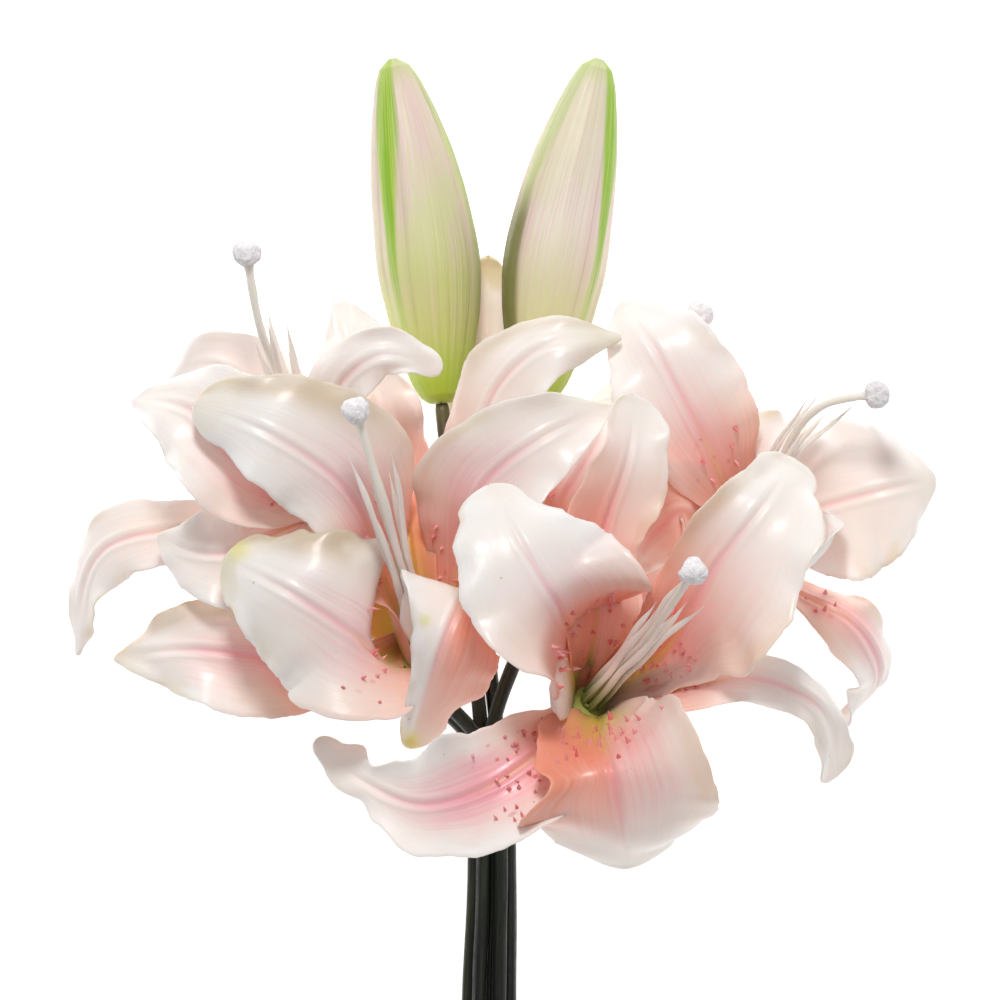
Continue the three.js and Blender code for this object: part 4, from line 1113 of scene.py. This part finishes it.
def petal_finish():
    f = Finish("petal_skin", Coat_Weight=0.22, Coat_Roughness=0.22, Specular_IOR_Level=0.42)
    f.glowing(0.34, (1.0, 0.45, 0.34), 0.005)
    u, v, seed, inner = f.value("along"), f.value("across"), f.value("seed"), f.value("inner")
    away = f.math("ABSOLUTE", v)
    across_mm, along_mm = f.value("side_mm"), f.value("length_mm")
    veins = f.grain(f.vector(f.times(v, 15.0), f.times(u, 1.5), seed), 1.0, 3.0, 0.6)
    lines = f.grain(f.vector(f.times(v, 38.0), f.times(u, 2.6), seed), 1.0, 2.0, 0.5)
    clouds = f.grain(f.place, 48.0, 2.0)
    cloudy = f.ramp(clouds, 0.3, 0.7)

    ground = f.mix(f.ramp(away, 0.45, 0.9), CREAM, WHITE)
    # Painted shade mottling: beige clouds, heavier towards the root.
    ground = f.mix(f.times(cloudy, f.ramp(u, 0.95, 0.5, 0.18, 0.42)), ground, BEIGE)
    # Painted shade: grey-beige patches along the margins, from the middle out to the tip.
    shade = f.grain(f.vector(f.times(u, 5.0), f.times(v, 1.6), seed), 1.0, 2.0)
    painted_margin_shade = f.times(f.ramp(away, 0.5, 0.95), f.ramp(u, 0.3, 0.6), f.ramp(shade, 0.48, 0.68), 0.7)
    ground = f.mix(painted_margin_shade, ground, MARGIN_PAINTED_SHADE)
    # Painted shadow: tan on one margin half towards the tip.
    ground = f.mix(f.times(f.value("tan"), f.ramp(shade, 0.3, 0.55, 0.5, 0.95)), ground, TAN_PAINTED_SHADE)
    core = f.ramp(f.math("ADD", away, f.times(f.math("SUBTRACT", clouds, 0.5), 0.9)), 0.85, 0.0)
    rise, fall = f.ramp(u, 0.08, 0.36), f.ramp(u, 0.84, 0.34)
    blush = f.times(core, rise, fall, f.value("blush"), f.ramp(inner, 0.2, 0.8, 0.45, 1.0))
    veined = f.times(blush, f.ramp(veins, 0.25, 0.7, 0.68, 1.0))
    skin = f.mix(f.math("MINIMUM", veined, 1.0), ground, PINK)
    streaks = f.times(f.ramp(lines, 0.5, 0.7), f.ramp(core, 0.15, 0.7), f.ramp(u, 0.2, 0.45),
                      f.ramp(u, 0.85, 0.5))
    skin = f.mix(f.times(streaks, 0.2, f.value("blush")), skin, ROSE)
    # Coral towards the throat: partly the petal's own colour, partly painted glow of light through the
    # petals and painted shade deep in the throat.
    warm_to = f.value("warm_to")
    reach = f.math("ADD", u, f.times(away, -0.06))
    # Painted shadow: the coral is taken off the lit half of petals given a side.
    warmth = f.times(f.ramp(reach, warm_to, f.times(warm_to, 0.25)), f.value("glow"),
                     f.math("SUBTRACT", 1.0, f.value("cool")))
    warmth = f.times(warmth, f.ramp(veins, 0.2, 0.8, 0.72, 0.98))
    skin = f.mix(f.math("MINIMUM", warmth, 0.95), skin, CORAL)

    rib = f.times(f.bell(across_mm, 0.0, 0.9), f.ramp(u, 0.9, 0.6), f.ramp(u, 0.05, 0.2))
    rib_colour = f.mix(f.ramp(u, 0.34, 0.52), (0.74, 0.62, 0.16), ROSE)
    skin = f.mix(f.times(rib, 0.3), skin, rib_colour)
    distance, fleck = f.flecks(f.vector(f.times(across_mm, 0.28), f.times(along_mm, 0.2), seed), 1.0)
    chosen = f.ramp(f.math("FRACT", fleck), 0.45, 0.5)
    spots = f.times(f.ramp(distance, 0.26, 0.12), chosen, f.value("dots"), inner)
    skin = f.mix(f.math("MINIMUM", f.times(spots, 0.9), 1.0), skin, SPOT)
    throat = f.ramp(f.math("ADD", u, f.times(away, 0.34)), f.times(f.value("green_to"), 1.2), 0.05)
    skin = f.mix(f.times(throat, 0.92), skin, f.mix(f.ramp(u, 0.16, 0.02), LIME, DEEP_OLIVE))
    # Painted shade: olive-beige clouds near the petal tip.
    tip = f.times(f.ramp(u, 0.8, 1.0), f.ramp(cloudy, 0.1, 0.6), f.value("olive"), 0.55)
    skin = f.mix(f.math("MINIMUM", tip, 0.8), skin, OLIVE_PAINTED_SHADE)
    skin = f.mix(f.times(f.value("stain"), f.ramp(clouds, 0.3, 0.6, 0.6, 0.95)), skin, STAIN)
    pin, pin_colour = f.flecks(f.place, 95.0)
    specks = f.times(f.ramp(pin, 0.05, 0.025), f.ramp(pin_colour, 0.6, 0.65))
    skin = f.mix(f.times(specks, 0.45), skin, (0.35, 0.34, 0.14))
    f.colour(skin)
    f.roughness(f.ramp(f.grain(f.place, 420.0, 2.0), 0.3, 0.7, 0.36, 0.52))
    f.bump(veins, 0.18, 0.0006)
    f.bump(f.grain(f.place, 150.0, 3.0, 0.6), 0.25, 0.0006)
    return f.material


def neck_finish():
    f = Finish("neck_skin", Specular_IOR_Level=0.4)
    u = f.value("along")
    streaks = f.grain(f.vector(f.times(f.value("round"), 3.0), f.times(u, 1.2), 0.0), 1.0, 3.0)
    skin = f.mix(f.ramp(u, 0.0, 1.0), (0.13, 0.2, 0.035), (0.42, 0.46, 0.08))
    f.colour(f.mix(f.ramp(streaks, 0.35, 0.7, 0.0, 0.5), skin, (0.5, 0.5, 0.16)))
    f.roughness(f.ramp(streaks, 0.3, 0.7, 0.4, 0.55))
    f.bump(streaks, 0.4, 0.0004)
    return f.material


def bristle_finish():
    f = Finish("bristle_skin", Specular_IOR_Level=0.4)
    drift = f.grain(f.place, 130.0, 2.0)
    f.colour(f.mix(f.ramp(drift, 0.35, 0.65), (0.80, 0.19, 0.19), (0.90, 0.42, 0.42)))
    f.roughness(f.ramp(f.grain(f.place, 900.0), 0.3, 0.7, 0.35, 0.5))
    f.bump(f.grain(f.place, 2500.0), 0.2, 0.0001)
    return f.material


def style_finish():
    f = Finish("style_skin", Specular_IOR_Level=0.45)
    f.glowing(0.3, (1.0, 0.7, 0.5), 0.002)
    u = f.value("along")
    long_grain = f.grain(f.vector(f.times(f.value("round"), 2.0), f.times(u, 3.0), 0.0), 1.0, 3.0)
    skin = f.mix(f.ramp(u, 0.05, 0.4), (0.42, 0.46, 0.1), (0.9, 0.87, 0.8))
    f.colour(f.mix(f.ramp(long_grain, 0.4, 0.75, 0.0, 0.3), skin, (0.85, 0.78, 0.62)))
    f.roughness(f.ramp(long_grain, 0.3, 0.7, 0.35, 0.5))
    f.bump(long_grain, 0.35, 0.0003)
    return f.material


def stigma_finish():
    f = Finish("stigma_crumbs", Specular_IOR_Level=0.3)
    crumbs = f.grain(f.place, 850.0, 4.0, 0.65)
    lumps = f.grain(f.place, 300.0, 3.0, 0.6)
    # Painted shade: the stigma turns grey-lilac where the crumbs and lumps dip, in the hollows of its
    # bumps.
    skin = f.mix(f.ramp(crumbs, 0.3, 0.6), (0.83, 0.79, 0.82), (0.97, 0.955, 0.965))
    f.colour(f.mix(f.ramp(lumps, 0.5, 0.3, 0.0, 0.5), skin, (0.78, 0.72, 0.78)))
    f.roughness(f.ramp(crumbs, 0.3, 0.7, 0.6, 0.85))
    f.bump(lumps, 0.8, 0.0012)
    f.bump(crumbs, 0.7, 0.0005)
    return f.material


def filament_finish():
    f = Finish("filament_skin", Specular_IOR_Level=0.45)
    f.glowing(0.3, (1.0, 0.75, 0.55), 0.0015)
    u = f.value("along")
    streaks = f.grain(f.vector(f.times(f.value("round"), 1.5), f.times(u, 2.5), 0.0), 1.0, 2.0)
    skin = f.mix(f.ramp(u, 0.02, 0.34), (0.17, 0.23, 0.03), (0.94, 0.89, 0.84))
    f.colour(f.mix(f.ramp(streaks, 0.4, 0.7, 0.0, 0.3), skin, (0.92, 0.80, 0.72)))
    f.roughness(f.ramp(streaks, 0.3, 0.7, 0.38, 0.52))
    f.bump(streaks, 0.3, 0.0002)
    return f.material


def bud_finish():
    f = Finish("bud_skin", Coat_Weight=0.06, Coat_Roughness=0.3, Specular_IOR_Level=0.4)
    f.glowing(0.22, (0.9, 0.8, 0.4), 0.004)
    u, near, seed = f.value("along"), f.value("stripe"), f.value("seed")
    veins = f.grain(f.vector(f.times(near, 9.0), f.times(u, 1.3), seed), 1.0, 3.0, 0.6)
    lines = f.grain(f.vector(f.times(near, 26.0), f.times(u, 2.4), seed), 1.0, 2.0)
    wander = f.math("ADD", near, f.times(f.math("SUBTRACT", veins, 0.5), 0.16))
    beige = f.mix(f.value("pale"), (0.77, 0.70, 0.52), (0.90, 0.82, 0.74))
    face = f.mix(f.ramp(veins, 0.38, 0.66), beige, (0.86, 0.66, 0.64))
    face = f.mix(f.ramp(lines, 0.55, 0.75, 0.0, 0.45), face, (0.80, 0.48, 0.50))
    lime = f.mix(f.ramp(lines, 0.4, 0.65), (0.30, 0.56, 0.03), (0.52, 0.66, 0.14))
    clouds = f.grain(f.place, 30.0, 3.0)
    cloudy = f.times(f.ramp(clouds, 0.42, 0.62), f.ramp(f.value("pale"), 0.0, 1.0, 0.75, 0.4))
    face = f.mix(cloudy, face, (0.72, 0.76, 0.40))
    low = f.ramp(f.math("ADD", u, f.times(f.math("SUBTRACT", veins, 0.5), 0.3)), 0.6, 0.1)
    ground = f.mix(f.value("pale"), (0.56, 0.63, 0.16), (0.66, 0.67, 0.30))
    skin = f.mix(f.times(low, 0.85), face, ground)
    half = f.ramp(u, 0.42, 0.97, 0.13, 0.5)
    stripe = f.ramp(f.math("DIVIDE", wander, half), 1.25, 0.6)
    fading = f.times(f.value("green"), f.ramp(u, 0.2, 0.55, 0.35, 1.0))
    skin = f.mix(f.times(stripe, fading), skin, lime)
    vein = f.times(f.bell(near, 0.0, 0.03), f.ramp(u, 0.1, 0.3), 0.55)
    skin = f.mix(f.times(vein, f.value("green")), skin, (0.24, 0.38, 0.03))
    seam = f.times(f.bell(near, BUD_SEAM, 0.035), f.value("green"), 0.22)
    skin = f.mix(seam, skin, (0.42, 0.44, 0.16))
    foot = f.ramp(f.math("ADD", u, f.times(f.math("SUBTRACT", veins, 0.5), 0.1)), 0.22, 0.02)
    skin = f.mix(f.times(foot, 0.85), skin, (0.40, 0.60, 0.03))
    tip = f.ramp(u, 0.9, 1.0)
    skin = f.mix(f.times(tip, 0.6), skin, (0.50, 0.64, 0.16))
    # Painted shade: dark olive on the bud flank that faces -X.
    skin = f.mix(f.times(f.value("dusk"), 0.85), skin, (0.17, 0.18, 0.035))
    f.colour(skin)
    f.roughness(f.ramp(f.grain(f.place, 500.0), 0.3, 0.7, 0.36, 0.5))
    f.bump(veins, 0.35, 0.0008)
    f.bump(lines, 0.5, 0.0003)
    return f.material


def stem_finish():
    f = Finish("stem_skin", Specular_IOR_Level=0.5)
    u, seed = f.value("along"), f.value("seed")
    streaks = f.grain(f.vector(f.times(f.value("round"), 2.2), f.times(u, 7.0), seed), 1.0, 3.0)
    skin = f.mix(f.ramp(streaks, 0.35, 0.7), (0.003, 0.006, 0.003), (0.010, 0.019, 0.007))
    # Olive streaks, strongest on the back_left stem: the stems' own colour.
    skin = f.mix(f.times(f.ramp(streaks, 0.45, 0.7), f.value("olive"), 0.4), skin, (0.10, 0.09, 0.02))
    skin = f.mix(f.times(f.ramp(u, 0.06, 0.0), 0.8), skin, (0.13, 0.11, 0.035))
    f.colour(skin)
    f.roughness(f.ramp(f.grain(f.place, 300.0), 0.3, 0.7, 0.32, 0.5))
    f.bump(streaks, 0.5, 0.0004)
    f.bump(f.grain(f.place, 900.0, 3.0), 0.2, 0.0002)
    return f.material


def strap_finish():
    f = Finish("clear_strap", Transmission_Weight=0.75, IOR=1.46)
    haze = f.grain(f.place, 260.0, 3.0)
    f.colour(f.mix(f.ramp(haze, 0.35, 0.65), (0.62, 0.66, 0.67), (0.84, 0.87, 0.88)))
    f.roughness(f.ramp(haze, 0.3, 0.7, 0.1, 0.26))
    f.bump(haze, 0.25, 0.0003)
    return f.material


# Stage
def make_stage():
    bpy.ops.mesh.primitive_plane_add(size=6, location=(0, 0, -0.0003))
    floor = bpy.context.object
    floor.name = "pale_floor"
    f = Finish("pale_paper", Specular_IOR_Level=0.1, Emission_Strength=0.75)
    f.colour(f.mix(f.ramp(f.grain(f.place, 3.0), 0.3, 0.7), (0.9, 0.9, 0.9), (0.93, 0.93, 0.93)))
    f.skin.inputs["Emission Color"].default_value = (1, 1, 1, 1)
    f.skin.inputs["Roughness"].default_value = 0.9
    floor.data.materials.append(f.material)

    scene = bpy.context.scene
    world = bpy.data.worlds.new("studio")
    world.use_nodes = True
    world.node_tree.nodes["Background"].inputs["Color"].default_value = (1.0, 0.99, 0.985, 1)
    world.node_tree.nodes["Background"].inputs["Strength"].default_value = 0.33
    scene.world = world
    scene.view_settings.view_transform = "Standard"
    for name, place, size, power in LAMPS:
        lamp = bpy.data.lights.new(name, "AREA")
        lamp.size = size
        lamp.energy = power
        lamp.color = (1.0, 0.98, 0.965)
        holder = bpy.data.objects.new(name, lamp)
        holder.location = place
        look = Vector(LAMP_AIM) - Vector(place)
        holder.rotation_euler = look.to_track_quat("-Z", "Y").to_euler()
        scene.collection.objects.link(holder)

    lens = bpy.data.cameras.new("camera")
    lens.sensor_width = 36
    lens.lens = 720
    lens.clip_end = 30
    eye = bpy.data.objects.new("camera", lens)
    eye.location = ((500 - PICTURE_MIDDLE_ACROSS) * MM_PER_PIXEL / 1000,
                    (PICTURE_MIDDLE_DOWN - 500) * MM_PER_PIXEL / 1000, CAMERA_HEIGHT)
    scene.collection.objects.link(eye)
    scene.camera = eye


def main():
    make_stage()
    petals = [petal_finish(), neck_finish()]
    bristle_skin = bristle_finish()
    bristles = bristle_tree(bristle_skin)
    pistils = [style_finish(), stigma_finish()]
    filaments = filament_finish()
    for number, (name, bloom) in enumerate(BLOOMS.items(), 1):
        piece = make_bloom(name, bloom, number, petals)
        make_bristles(name, piece, bristles, bristle_skin, number)
        make_pistil(name, bloom, pistils)
        make_filaments(name, bloom, number, filaments)
    bud_skin = bud_finish()
    for name, bud in BUDS.items():
        make_bud(name, bud, bud_skin)
    stem_skin = stem_finish()
    for number, (name, stem) in enumerate(STEMS.items()):
        make_stem(name, stem, stem_skin, number)
    make_strap(strap_finish())


main()
